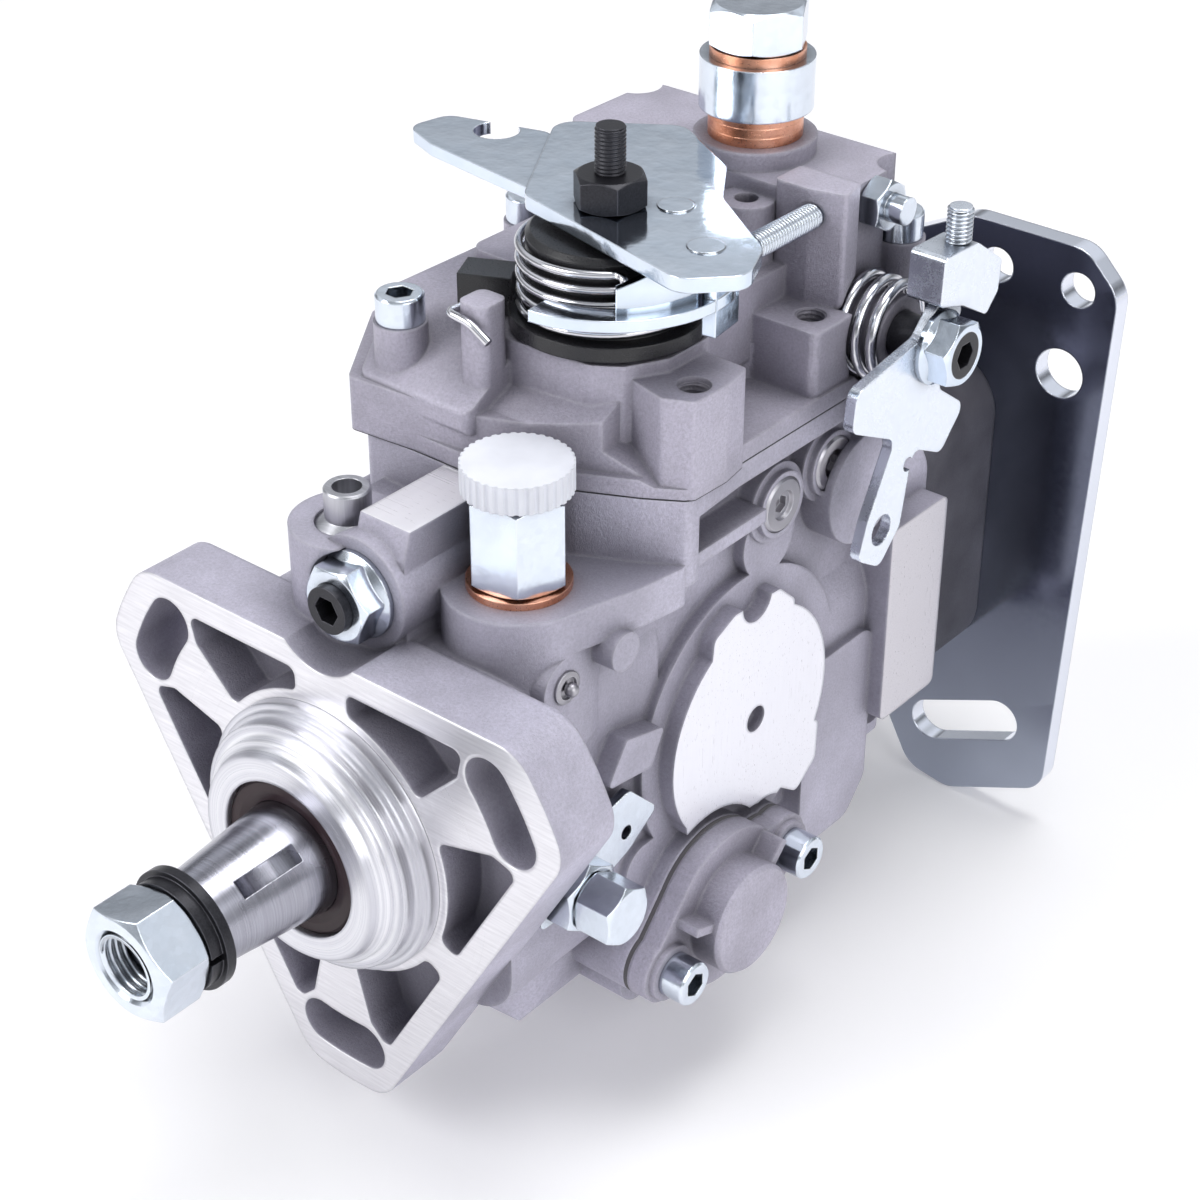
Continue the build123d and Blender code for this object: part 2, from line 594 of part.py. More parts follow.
def cam_plate():
    """The face cam with one lobe for each outlet, its hub and its two front claws."""
    start = CAM_Y
    body = rod_y(CAM_R, start, CAM_END_Y)
    for k in range(LOBES):
        valley = Rot(0, 0, 90 + 360 / LOBES * (k + 0.5)) * Polygon((8, -3), (40, -15), (40, 15), (8, 3), align=None)
        body -= along_y(valley, start - 1, start + CAM_LIFT)
    body += rod_y(14, RING_Y + 4 + DISC_WIDTH + 0.1, start + 1)
    claw = along_y(Rectangle(CLAW_WIDTH, 28), RING_Y + 4 + DISC_WIDTH / 2 + 0.1, start)
    body += (claw & rod_y(14, RING_Y, start + 1)) - rod_y(8.5, RING_Y, start)
    return body - rod_y(PLUNGER_R + 0.2, CAM_END_Y - 4, CAM_END_Y + 1)


def plunger():
    foot = CAM_END_Y
    profile = [(0, foot - 4), (PLUNGER_R, foot - 4), (PLUNGER_R, foot), (10.5, foot), (10.5, foot + 2.5),
               (PLUNGER_R, foot + 2.5), (PLUNGER_R, 146), (PLUNGER_R - 1, 147), (0, 147)]
    body = pointing_y(0, 0, 0) * turned(profile)
    body -= rod_z(1.3, -PLUNGER_R, PLUNGER_R, 0, COLLAR_Y + COLLAR_LENGTH / 2)
    return body - rod_y(1.3, COLLAR_Y, 148)


def plunger_springs():
    length = BARREL_Y - PUMP_SPRING_Y - 2.2
    turns = 4
    pitch = (length - 2.4) / turns
    items = [pointing_y(0, PUMP_SPRING_Y, 0) * ring(CAM_R - 1, 13.2, 2)]
    for side in (-1, 1):
        items.append(pointing_y(side * SPRING_OFFSET, PUMP_SPRING_Y + 2.1 + 1.2, 0) * coil(4.6, 2, turns, pitch))
    return items


def control_collar():
    body = rod_y(COLLAR_R, COLLAR_Y, COLLAR_Y + COLLAR_LENGTH)
    middle = COLLAR_Y + COLLAR_LENGTH / 2
    body -= rod_y(COLLAR_R + 1, middle - 2.6, middle + 2.6) - rod_y(COLLAR_R - 3.2, middle - 3, middle + 3)
    return body - rod_y(PLUNGER_R + FIT, COLLAR_Y, COLLAR_Y + COLLAR_LENGTH)


def roller_angles():
    return [90, 90 + 360 / LOBES, 270, 270 + 360 / LOBES]


def roller_ring():
    body = rod_y(RING_R, RING_Y, RING_Y + RING_LENGTH) - rod_y(RING_BORE_R - 3.5, RING_Y, RING_Y + RING_LENGTH)
    pocket = Rot(0, 90, 0) * Cylinder(ROLLER_R + 0.3, ROLLER_WIDTH + 0.6)
    for angle in roller_angles():
        body -= Pos(0, ROLLER_Y, 0) * Rot(0, -angle, 0) * Pos(RING_BORE_R + 3.6, 0, 0) * pocket
    return body + rod_z(3, TIMING_Z + 2, 0.6 - RING_R, 0, TIMING_Y)


def rollers():
    roller = Rot(0, 90, 0) * (Cylinder(ROLLER_R, ROLLER_WIDTH) - Cylinder(1.5, 2 * ROLLER_WIDTH))
    place = Pos(RING_BORE_R + 3.6, 0, 0)
    return [Pos(0, ROLLER_Y, 0) * Rot(0, -angle, 0) * place * roller for angle in roller_angles()]


def timing_piston():
    half = PISTON_LENGTH / 2
    body = rod_x(PISTON_R, -half, half, TIMING_Y, TIMING_Z)
    body -= rod_x(7.5, half - PISTON_BORE, half + 1, TIMING_Y, TIMING_Z)
    slot = outline([(-4.2, TIMING_Y - 3.4), (4.2, TIMING_Y - 3.4), (4.2, TIMING_Y + 3.4), (-4.2, TIMING_Y + 3.4)], 2)
    return body - along_z(slot, TIMING_Z, TIMING_Z + PISTON_R + 1)


def timing_spring():
    start = PISTON_LENGTH / 2 - PISTON_BORE + PISTON_TRAVEL + 1.3
    length = MILLED_X + 1 + 6 - start - 1.2
    return pointing_x(start, TIMING_Y, TIMING_Z) * coil(5.4, 2, 5, length / 5)


def timing_plate():
    """The outline of a timing cover, round in the middle with an ear for each screw."""
    shape = Pos(TIMING_Y, TIMING_Z) * Circle(19)
    for dy, dz in TIMING_SCREWS:
        shape += Pos(TIMING_Y + dy, TIMING_Z + dz) * Circle(7.5)
    waist = [(TIMING_Y - 20, TIMING_Z - 12), (TIMING_Y + 12, TIMING_Z - 16), (TIMING_Y + 26, TIMING_Z + 1),
             (TIMING_Y + 19, TIMING_Z + 12), (TIMING_Y - 12, TIMING_Z + 15), (TIMING_Y - 27, TIMING_Z - 2)]
    return shape + outline(waist, 5)


def timing_gaskets():
    plate = timing_plate() - Pos(TIMING_Y, TIMING_Z) * Circle(PISTON_R + 1)
    for dy, dz in TIMING_SCREWS:
        plate -= Pos(TIMING_Y + dy, TIMING_Z + dz) * Circle(M6 / 2 + FIT)
    return [along_x(plate, MILLED_X, MILLED_X + 1), along_x(plate, -MILLED_X - 1, -MILLED_X)]


def timing_cover_body(cap_length):
    """A timing cover on its gasket plane x = 0, bulging towards +X."""
    plate = 5.0
    body = along_x(timing_plate(), 0, plate)
    cap = turned([(0, 0), (13.4, 0), (12.8, plate), (12.8, cap_length - 1), (12, cap_length), (0, cap_length)])
    body += pointing_x(0, TIMING_Y, TIMING_Z) * cap
    for dy, dz in TIMING_SCREWS:
        body += rod_x(6.4, 0, plate + 1.5, TIMING_Y + dy, TIMING_Z + dz)
    for angle in (160, 45):
        rib = Rot(angle, 0, 0) * along_x(Pos(13, 0) * Rectangle(11, 2), 0, cap_length - 2)
        body += Pos(0, TIMING_Y, TIMING_Z) * rib
    for dy, dz in TIMING_SCREWS:
        body -= rod_x(M6 / 2 + FIT, -1, plate + 3, TIMING_Y + dy, TIMING_Z + dz)
    return body - rod_x(8, -1, 6 + FIT, TIMING_Y, TIMING_Z)


def timing_cover():
    return Pos(MILLED_X + 1, 0, 0) * timing_cover_body(12.5)


def timing_cover_left():
    return mirror(Pos(MILLED_X + 1, 0, 0) * timing_cover_body(9.0), Plane.YZ)


def timing_screws():
    seat = MILLED_X + 1 + 6.5
    items = []
    for dy, dz in TIMING_SCREWS:
        items.append(pointing_x(seat, TIMING_Y + dy, TIMING_Z + dz) * cap_screw(M6, 19))
        items.append(pointing_left(-seat, TIMING_Y + dy, TIMING_Z + dz) * cap_screw(M6, 19))
    return items


def governor_shaft():
    body = rod_y(GOVERNOR_SHAFT_R, 3, SLEEVE_Y + 22, 0, GOVERNOR_Z)
    body -= along_y(Pos(0, GOVERNOR_Z) * RegularPolygon(2.7, 6, major_radius=False), 2, 8)
    return body


def governor_shaft_nut():
    nut = flange_nut(15, 7.0, GOVERNOR_SHAFT_R + FIT)
    return pointing_front(0, 12, GOVERNOR_Z) * Rot(0, 0, 8) * nut


def carrier_axes():
    return [45, 135, 225, 315]


def flyweight_carrier():
    """The gear and the cage that carries the four flyweights."""
    teeth = gear(GEAR_MODULE, CARRIER_TEETH, GEAR_WIDTH, GOVERNOR_SHAFT_R + FIT, 90 + 180 / CARRIER_TEETH)
    body = pointing_y(0, GEAR_Y, GOVERNOR_Z) * teeth
    body += rod_y(CARRIER_R - 2, CARRIER_Y - 0.5, CARRIER_Y + 2, 0, GOVERNOR_Z)
    body -= rod_y(GOVERNOR_SHAFT_R + FIT, GEAR_Y - 1, CARRIER_Y + 3, 0, GOVERNOR_Z)
    for angle in carrier_axes():
        for side in (-1, 1):
            place = Pos(TRUNNION_AT, side * (FLYWEIGHT_WIDTH / 2 + EAR / 2 + GAP))
            ear = along_y(place * Rectangle(6, EAR), CARRIER_Y + 1.5, CARRIER_Y + 8)
            ear -= rod_z(TRUNNION_R + FIT, -20, 20, TRUNNION_AT, TRUNNION_Y)
            body += Pos(0, 0, GOVERNOR_Z) * Rot(0, -angle, 0) * ear
    return body


def flyweight(angle):
    """One L-shaped weight, hung on its trunnions between two ears of the carrier."""
    toe = SLEEVE_R + 0.4
    rim = CARRIER_R - 2.6
    profile = Polygon((CARRIER_R - 8, 3.2), (CARRIER_R - 4.5, 3.2), (rim, 5), (rim, 12), (CARRIER_R - 7, 12),
                      (SLEEVE_R + 3, 8.5), (toe, 8.5), (toe, 6.5), (CARRIER_R - 8, 6), align=None)
    body = along_z(Pos(0, CARRIER_Y) * profile, -FLYWEIGHT_WIDTH / 2, FLYWEIGHT_WIDTH / 2)
    reach = FLYWEIGHT_WIDTH / 2 + EAR + GAP
    body += rod_z(TRUNNION_R, -reach, reach, TRUNNION_AT, TRUNNION_Y)
    return Pos(0, 0, GOVERNOR_Z) * Rot(0, -angle, 0) * body


def governor_sleeve():
    nose = SLEEVE_Y + 24
    length = LEVER_FACE_Y - GAP - SLEEVE_Y
    profile = [(0, length), (2.8, length - 1.2), (4, length - 4), (SLEEVE_R, length - 4.5), (SLEEVE_R, 1.5),
               (SLEEVE_R + 2, 1.5), (SLEEVE_R + 2, 0), (0, 0)]
    body = pointing_y(0, SLEEVE_Y, GOVERNOR_Z) * turned(profile)
    return body - rod_y(GOVERNOR_SHAFT_R + FIT, SLEEVE_Y - 1, nose + 4, 0, GOVERNOR_Z)


def governor_lever():
    body = block(-8, 8, PIVOT_Y - 1.5, PIVOT_Y + 1.5, PIVOT_Z - 6, SPRING_Z + 3)
    body += rod_x(5, -8, 8, PIVOT_Y, PIVOT_Z)
    body += rod_z(2, COLLAR_R - 0.6, PIVOT_Z, 0, PIVOT_Y)
    body -= rod_x(2 + FIT, -9, 9, PIVOT_Y, PIVOT_Z)
    return body - rod_y(1.2, PIVOT_Y - 2, PIVOT_Y + 2, 0, SPRING_Z)


def correction_lever():
    """The fork on the two pivot bolts that carries the pin of the governor lever."""
    body = rod_x(2, -22, 22, PIVOT_Y, PIVOT_Z)
    y, z = PIVOT_BOLTS[0]
    cheek = outline([(y - 7, z - 7), (PIVOT_Y + 6, PIVOT_Z - 6), (PIVOT_Y + 7, PIVOT_Z + 6), (y + 7, z + 8),
                     (y - 7, z + 8)], 3)
    for side in (-1, 1):
        body += along_x(cheek, min(side * 19, side * 22), max(side * 19, side * 22))
    for side in (-1, 1):
        body -= rod_x(4 + FIT, side * 20 - 4, side * 20 + 4, y, z)
    return body


def pivot_bolt(tip):
    """A flush pivot bolt with a hexagon socket, seat at x = 0 and shank towards -X."""
    head = 2.4
    body = turned([(0, -tip), (4, -tip), (4, 0), (PIVOT_HEAD_R, 0), (PIVOT_HEAD_R, head - 0.6), (PIVOT_HEAD_R - 0.6, head),
                   (3.4, head), (3.0, head - 0.8), (0, head - 0.8)])
    return body - extrude(Plane.XY.offset(head) * RegularPolygon(1.8, 6, major_radius=False), amount=-2.4)


def lever_pivot_bolts():
    items = []
    for index, (y, z) in enumerate(PIVOT_BOLTS):
        tip = PIVOT_SEAT_X - 19 if index == 0 else 4.0
        items.append(pointing_x(PIVOT_SEAT_X, y, z) * pivot_bolt(tip))
        items.append(pointing_left(-PIVOT_SEAT_X, y, z) * pivot_bolt(tip))
    return items


def control_shaft():
    """The upright shaft of the throttle lever, with its eccentric pin inside the cover."""
    top = LEVER_Z + LEVER_THICK
    body = rod_z(CONTROL_SHAFT_R, ECCENTRIC_Z + 1, top, THROTTLE_X, THROTTLE_Y)
    body += rod_z(CONTROL_THREAD_R, top - 1, top + 16, THROTTLE_X, THROTTLE_Y)
    arm = outline([(THROTTLE_X - 4, THROTTLE_Y - 4), (THROTTLE_X + 4, THROTTLE_Y - 4), (THROTTLE_X + 4, THROTTLE_Y + 9),
                   (THROTTLE_X - 4, THROTTLE_Y + 9)], 2)
    body += along_z(arm, ECCENTRIC_Z, ECCENTRIC_Z + 3)
    return body + rod_z(2, SPRING_Z - 1.5, ECCENTRIC_Z + 1, THROTTLE_X, THROTTLE_Y + 6)


def governor_spring():
    """The spring between the eccentric pin and the top of the governor lever."""
    start = Vector(THROTTLE_X, THROTTLE_Y + 6 + 2.6, SPRING_Z)
    end = Vector(0, PIVOT_Y - 2.4, SPRING_Z)
    run = end - start
    turns = 6
    body = coil(2.6, 1.2, turns, (run.length - 3) / turns)
    tilt = degrees(atan2(run.X, run.Y))
    return Pos(start.X, start.Y, start.Z) * Rot(0, 0, -tilt) * Rot(-90, 0, 0) * Pos(0, 0, 1.5) * body


def cover_body():
    """The outer form of the governor cover."""
    body = along_z(outline(SEAM_PLAN, 2.5), SEAM_Z, SEAM_Z + 4)
    band = [(-27, FRONT_Y - 1.5), (1, FRONT_Y + 1), (23, 49.5), (35, 55), (43, 60.5), (43, 77), (25, 80), (25, 102),
            (41.5, 102), (41.5, 115), (STOP_WALL_X, 115), (STOP_WALL_X, COVER_REAR_Y - 1), (-44, COVER_REAR_Y - 1),
            (-44, 63)]
    body += along_z(outline(band, 2), SEAM_Z, BAND_Z)
    fall = outline([(20, BAND_Z + 1), (22, BAND_Z), (38, SEAM_Z + 2.5), (60, SEAM_Z + 2.5), (60, BAND_Z + 1)])
    body -= along_y(fall, FRONT_Y, 62)
    fairing = outline([(FRONT_Y + 6, BAND_Z - 4), (FRONT_Y + 6, BAND_Z), (58, 84), (70, 84), (70, BAND_Z - 4)])
    body += along_x(fairing, 0, 28) & along_z(outline(band), SEAM_Z, 90)
    wall = outline([(-6, 54), (4, 52.5), (23, 54), (28.5, 57.5), (33, 66), (33, 80), (-6, 80)], 2)
    body += along_z(wall, BAND_Z - 4, TURRET_Z - 1)
    slope = outline([(FRONT_Y, BAND_Z - 4), (FRONT_Y, BAND_Z + 1), (FRONT_Y + 18, LEFT_DECK_Z), (110, LEFT_DECK_Z),
                     (110, BAND_Z - 4)], 1)
    left = outline([(-25, FRONT_Y), (4, FRONT_Y), (4, 110), (-32, 110), (-33, 60)], 2)
    body += along_x(slope, -42, 4) & along_z(left, SEAM_Z, LEFT_DECK_Z + 1)
    body += rod_z(DRUM_R, BAND_Z - 4, TURRET_Z, THROTTLE_X, THROTTLE_Y)
    body += block(-30, 26, 78, COVER_REAR_Y - 3, BAND_Z - 4, TURRET_Z, 4)
    body += block(-34, STOP_WALL_X, 114, COVER_REAR_Y - 2, BAND_Z - 4, REAR_DECK_Z, 4)
    return body


def cover_bosses():
    corner = outline([(26, 60), (38.5, 56.5), (44.5, 59.5), (44.8, 69.5), (43.5, 77), (26, 78)], 1.5)
    parts = along_z(corner, SEAM_Z, DECK_Z)
    parts += block(18.5, 42, 102, 116, SEAM_Z, 85, 2)
    stop = outline([(22.5, 113), (31, 113), (39, 115), (37.5, 122), (22.5, 122)], 1)
    parts += along_z(stop, 84, STOP_BOSS_Z)
    parts += rod_z(6, 84, 105, 17, 111)
    parts += rod_z(13, BAND_Z, OVERFLOW_TOP_Z, OVERFLOW_X, OVERFLOW_Y)
    for x, y, seat in COVER_SCREWS:
        parts += rod_z(5.5, SEAM_Z, seat, x, y)
    parts += block(-3, 4, 45, 52.5, BAND_Z - 3, 100, 2)
    parts += rod_x(10, 10, STOP_WALL_X, STOP_Y, STOP_Z)
    parts += rod_x(8, 10, STOP_WALL_X + 12, STOP_Y, STOP_Z)
    return parts


def cover_cavity():
    """The room for the governor inside the cover, lower under the front slope."""
    front = FRONT_Y + WALL + 2
    side = CHAMBER_X - 8
    plan = outline([(-20, front), (8, front), (side, 56), (side, 76), (20, 80), (20, 106), (28, 122),
                    (28, CHAMBER_REAR_Y - 2), (-30, CHAMBER_REAR_Y - 2), (-30, 68)], 2)
    high = along_z(plan, CAVITY_STEP_Z - 1, DECK_Z - COVER_WALL)
    high &= block(-SIDE_X, SIDE_X, CAVITY_STEP_Y, REAR_Y, SEAM_Z, DECK_Z)
    return along_z(plan, SEAM_Z - 1, CAVITY_STEP_Z) + high


def governor_cover():
    body = cover_body() + cover_bosses() - cover_cavity()
    body -= rod_z(CONTROL_SHAFT_R + FIT, BAND_Z, TURRET_Z + 1, THROTTLE_X, THROTTLE_Y)
    body -= rod_z(7 + FIT, DECK_Z - COVER_WALL - 1, OVERFLOW_TOP_Z + 1, OVERFLOW_X, OVERFLOW_Y)
    for x, y, seat in COVER_SCREWS:
        body -= rod_z(M6 / 2 + FIT, SEAM_Z - 1, seat + 1, x, y)
        body -= rod_z(5.6, seat, 130, x, y)
    body -= rod_x(STOP_CLEAR_R, STOP_WALL_X, 60, STOP_Y, STOP_Z) - rod_x(8, STOP_WALL_X, 60, STOP_Y, STOP_Z)
    body -= rod_x(STOP_SHAFT_R + FIT, 0, 60, STOP_Y, STOP_Z)
    body -= rod_z(FRONT_THREAD_R, DECK_Z - 14, DECK_Z + 1, *FRONT_THREAD_AT)
    body -= rod_z(3.3, 85 - 11, 86, 35.4, 109.3)
    body -= rod_z(2.5, 95, 106, 17, 111)
    body -= rod_y(SPEED_SCREW / 2 + FIT, 110, 123, *SPEED_SCREW_AT)
    body -= rod_y(4 + FIT, 130, COVER_REAR_Y + 1, -12, 78)
    body -= rod_x(4 + FIT, 24, STOP_WALL_X + 2, 130, 103)
    return body


def cover_screws():
    return [Pos(x, y, seat) * cap_screw(M6, seat - SEAM_Z + COVER_SCREW_DEPTH) for x, y, seat in COVER_SCREWS]


def regulating_valve():
    top = 67.5
    body = turned([(0, 34), (4.5, 34), (4.5, VALVE_TOP_Z - 2), (6.8, VALVE_TOP_Z - 2), (6.8, VALVE_TOP_Z - 0.6),
                   (4.75, VALVE_TOP_Z + 1), (4.75, top - 0.4), (4.4, top), (0, top)])
    body -= Pos(0, 0, top - 5) * Cylinder(3, 20, align=(Align.CENTER, Align.CENTER, Align.MIN))
    return Pos(VALVE_X, VALVE_Y, 0) * body


def inlet_fitting():
    body = Pos(0, 0, 1.5) * hexagon(18, 19.5)
    body += Cylinder(7, 13, align=(Align.CENTER, Align.CENTER, Align.MAX)) + Cylinder(7, 3)
    body -= Cylinder(4.5, 60)
    body -= Pos(0, 0, 13) * Cylinder(6.2, 30, align=(Align.CENTER, Align.CENTER, Align.MIN))
    return Pos(INLET_X, INLET_Y, INLET_TOP_Z) * Rot(0, 0, -50.3) * body


def copper_washers():
    inlet = Pos(INLET_X, INLET_Y, INLET_TOP_Z) * ring(10.5, 7.05, 1.5)
    items = [inlet]
    for z in (0, COPPER, 2 * COPPER, 3 * COPPER + BANJO):
        items.append(Pos(OVERFLOW_X, OVERFLOW_Y, OVERFLOW_TOP_Z + z) * ring(10, 7.05, COPPER))
    return items


def inlet_cap():
    """The knurled plastic dust cap that plugs the inlet fitting."""
    top = 27.0
    seat = 21.2
    flutes = 36
    rim = 11.1
    notch = Circle(0.55)
    face = Circle(rim)
    for k in range(flutes):
        face -= Rot(0, 0, 360 / flutes * k) * Pos(rim + 0.15, 0) * notch
    body = Pos(0, 0, seat) * extrude(face, amount=top - seat)
    body += Pos(0, 0, 15) * Cylinder(5.6, seat - 15 + 1, align=(Align.CENTER, Align.CENTER, Align.MIN))
    return Pos(INLET_X, INLET_Y, INLET_TOP_Z) * body


def return_fittings():
    """The overflow banjo bolt with its eye, and the small hexagon plug at the rear of the cover."""
    eye_z = OVERFLOW_TOP_Z + 3 * COPPER
    neck = 4 * COPPER + BANJO
    eye = ring(12, 7.1, BANJO)
    eye += Pos(0, 19, BANJO / 2) * Rot(-90, 0, 0) * Cylinder(4, 20) - Cylinder(7.1, 40)
    bolt = turned([(0, -14), (7, -14), (7, neck), (0, neck)]) + Pos(0, 0, neck) * hexagon(19, 9)
    plug = hexagon(10, 5) + Pos(0, 0, -4) * Cylinder(4, 8) + Pos(0, 0, 4.5) * Cylinder(3, 9)
    return [Pos(OVERFLOW_X, OVERFLOW_Y, eye_z) * Rot(0, 0, 30) * eye,
            Pos(OVERFLOW_X, OVERFLOW_Y, OVERFLOW_TOP_Z) * bolt,
            pointing_x(STOP_WALL_X, 130, 103) * plug]


def set_screw(size, length):
    edge = 0.6
    body = turned([(0, 0), (size / 2 - edge, 0), (size / 2, edge), (size / 2, length - edge),
                   (size / 2 - edge, length), (0, length)])
    return body - extrude(RegularPolygon(0.3 * size, 6, major_radius=False), amount=0.5 * size)


def adjusting_screws():
    maximum = pointing_y(SPEED_SCREW_AT[0], 92, SPEED_SCREW_AT[1]) * set_screw(SPEED_SCREW, 27)
    load = pointing_front(-12, COVER_REAR_Y + 10, 78) * set_screw(8, 26)
    lock = pointing_y(-12, COVER_REAR_Y - 1, 78) * (hexagon(13, 5) - Cylinder(4.05, 30))
    return [maximum, load, lock]


def spring_seat():
    """The black seat of the throttle spring, with its drum and its stop ear."""
    body = turned([(CONTROL_SHAFT_R + 0.4, TURRET_Z), (SEAT_R, TURRET_Z), (SEAT_R, TURRET_Z + 3), (DRUM_R, TURRET_Z + 3),
                   (DRUM_R, DRUM_TOP_Z - 1), (DRUM_R - 1, DRUM_TOP_Z), (CONTROL_SHAFT_R + 0.4, DRUM_TOP_Z)])
    ear = Rot(0, 0, 206) * Pos(SEAT_R + 3, 0) * Rectangle(14, 8) - Circle(SEAT_R - 0.7)
    body += extrude(Plane.XY.offset(TURRET_Z) * ear, amount=8)
    return Pos(THROTTLE_X, THROTTLE_Y, 0) * body


def throttle_spring():
    mean = DRUM_R + 0.4 + THROTTLE_WIRE / 2
    turns = 4.25
    height = DRUM_TOP_Z - TURRET_Z - 3 - 2 * THROTTLE_WIRE
    start_z = TURRET_Z + 3 + GAP + THROTTLE_WIRE / 2
    top = Vector(0, mean, height)
    outside = Vector(0, mean + 1.3 * THROTTLE_WIRE, height)
    body = coil(mean, THROTTLE_WIRE, turns, height / turns)
    body += wire_leg(top, outside, THROTTLE_WIRE) + wire_leg(outside, outside - Vector(0, 0, 8.5), THROTTLE_WIRE)
    side = Vector(-0.5 * mean, 0.866 * mean, height - 1)
    body += wire_leg(side, side + Vector(-7, -5, 1.5), THROTTLE_WIRE)
    return Pos(THROTTLE_X, THROTTLE_Y, start_z) * Rot(0, 0, 224) * body


def throttle_lever():
    """The stamped lever: main plate with rivets, left arm, and the lower stop plate with its tab."""
    plate = outline([(-2, 64), (45, 52.5), (54, 62), (49, 73), (29, 87), (20, 100), (0, 112), (-22, 97)], 5)
    body = along_z(plate, LEVER_Z, LEVER_Z + LEVER_THICK)
    arm = outline([(6, 66), (10, 80), (-20, 92), (-42, 86), (-44, 76), (-34, 72)], 4)
    body += along_z(arm, LEVER_Z, LEVER_Z + LEVER_THICK - 0.4)
    for x, y in ((24.2, 78.4), (40.2, 67.1)):
        body += rod_z(3.6, LEVER_Z - 1, LEVER_Z + LEVER_THICK + 0.3, x, y)
    body -= rod_z(4.8, LEVER_Z - 1, 130, -28.5, 86)
    inner = DRUM_R + THROTTLE_WIRE + 2.5
    finger_z = 101.5
    finger = Circle(26.5) - Circle(inner) - Rot(0, 0, 14) * Pos(0, 30) * Rectangle(90, 60)
    finger -= Rot(0, 0, 4) * Pos(-30, 0) * Rectangle(60, 90)
    body += Pos(THROTTLE_X, THROTTLE_Y, finger_z) * extrude(finger, amount=2.4)
    tab = Rot(0, 0, 8) * Pos(24.7, 0) * Rectangle(3, 9)
    body += Pos(THROTTLE_X, THROTTLE_Y, TURRET_Z + 4) * extrude(tab, amount=LEVER_Z - TURRET_Z - 3)
    return body - rod_z(CONTROL_SHAFT_R, LEVER_Z - 1, LEVER_Z + 10, THROTTLE_X, THROTTLE_Y)


def throttle_nut():
    nut = hexagon(13, 6.5) - Cylinder(CONTROL_THREAD_R + FIT, 40)
    return Pos(THROTTLE_X, THROTTLE_Y, LEVER_Z + LEVER_THICK) * Rot(0, 0, 20) * nut


def stop_shaft():
    body = rod_x(STOP_SHAFT_R, 6, 63, STOP_Y, STOP_Z)
    return body - along_x(Pos(STOP_Y, STOP_Z) * RegularPolygon(2.6, 6, major_radius=False), 58, 64)


def stop_lever():
    """The stop lever plate with its hub block and upright stud."""
    bar = outline([(97, 78.5), (96, 70), (112, 62), (103.6, 46), (101, 38), (109, 33), (116, 40), (119, 57),
                   (130, 51.5), (138, 60), (127, 68), (134, 84), (128, 91), (119, 82)], 2.5)
    body = along_x(bar, STOP_LEVER_X, STOP_LEVER_X + STOP_LEVER_THICK)
    hub = outline([(121.5, 89), (130, 86.5), (139.5, 81), (143.5, 85), (144, 92), (134, 99), (122, 99.5)], 1.2)
    body += along_x(hub, STOP_LEVER_X - 3.3, STOP_LEVER_X + 5)
    body += rod_z(STOP_STUD_R, 88, 106.8, STOP_LEVER_X + 1.5, 132)
    body -= rod_x(3.5, STOP_LEVER_X - 1, STOP_LEVER_X + 5, 109, 42)
    body -= rod_x(1.6, STOP_LEVER_X - 1, STOP_LEVER_X + 5, 117.5, 54)
    return body - rod_x(STOP_SHAFT_R, STOP_LEVER_X - 8, STOP_LEVER_X + 5, STOP_Y, STOP_Z)


def stop_nut():
    nut = flange_nut(13, 7, STOP_SHAFT_R)
    return pointing_x(STOP_LEVER_X + STOP_LEVER_THICK, STOP_Y, STOP_Z) * Rot(0, 0, 15) * nut


def stop_spring():
    turns = 3.25
    start = STOP_WALL_X + STOP_WIRE / 2 + 0.2
    length = STOP_LEVER_X - 3.6 - STOP_WIRE / 2 - start
    return pointing_x(start, STOP_Y, STOP_Z) * coil(STOP_COIL_R, STOP_WIRE, turns, length / turns)


def ball_plug():
    y, z = BALL_PLUG
    body = turned([(0, -5), (3.5, -5), (3.5, 0), (2.4, 0.3), (2.4, -0.6), (0, -0.6)])
    return [pointing_x(SIDE_X, y, z) * body, Pos(SIDE_X + 0.9, y, z) * Sphere(1.5)]


def seal_tab():
    """The bent tab plate under its hexagon nut, with the bolt that holds it."""
    y, z = TAB_BOLT
    seat = SIDE_X + 1
    bolt = hexagon(12, 9) + Pos(0, 0, -16) * Cylinder(4, 17, align=(Align.CENTER, Align.CENTER, Align.MIN))
    nut = hexagon(14, 7) - Cylinder(4 + FIT, 30)
    plate = outline([(y - 8, z - 7), (y + 6, z - 8), (y + 20, z - 3), (y + 29, z + 3), (y + 20, z + 12), (y + 4, z + 9),
                     (y - 7, z + 7)], 1.5)
    plate = along_x(plate, seat, seat + 2) - rod_x(4.05, seat - 1, seat + 3, y, z)
    plate -= rod_x(1.6, seat - 1, seat + 3, y + 19, z + 2)
    return [pointing_x(seat + 2, y, z) * nut, pointing_x(seat + 9, y, z) * bolt, plate]


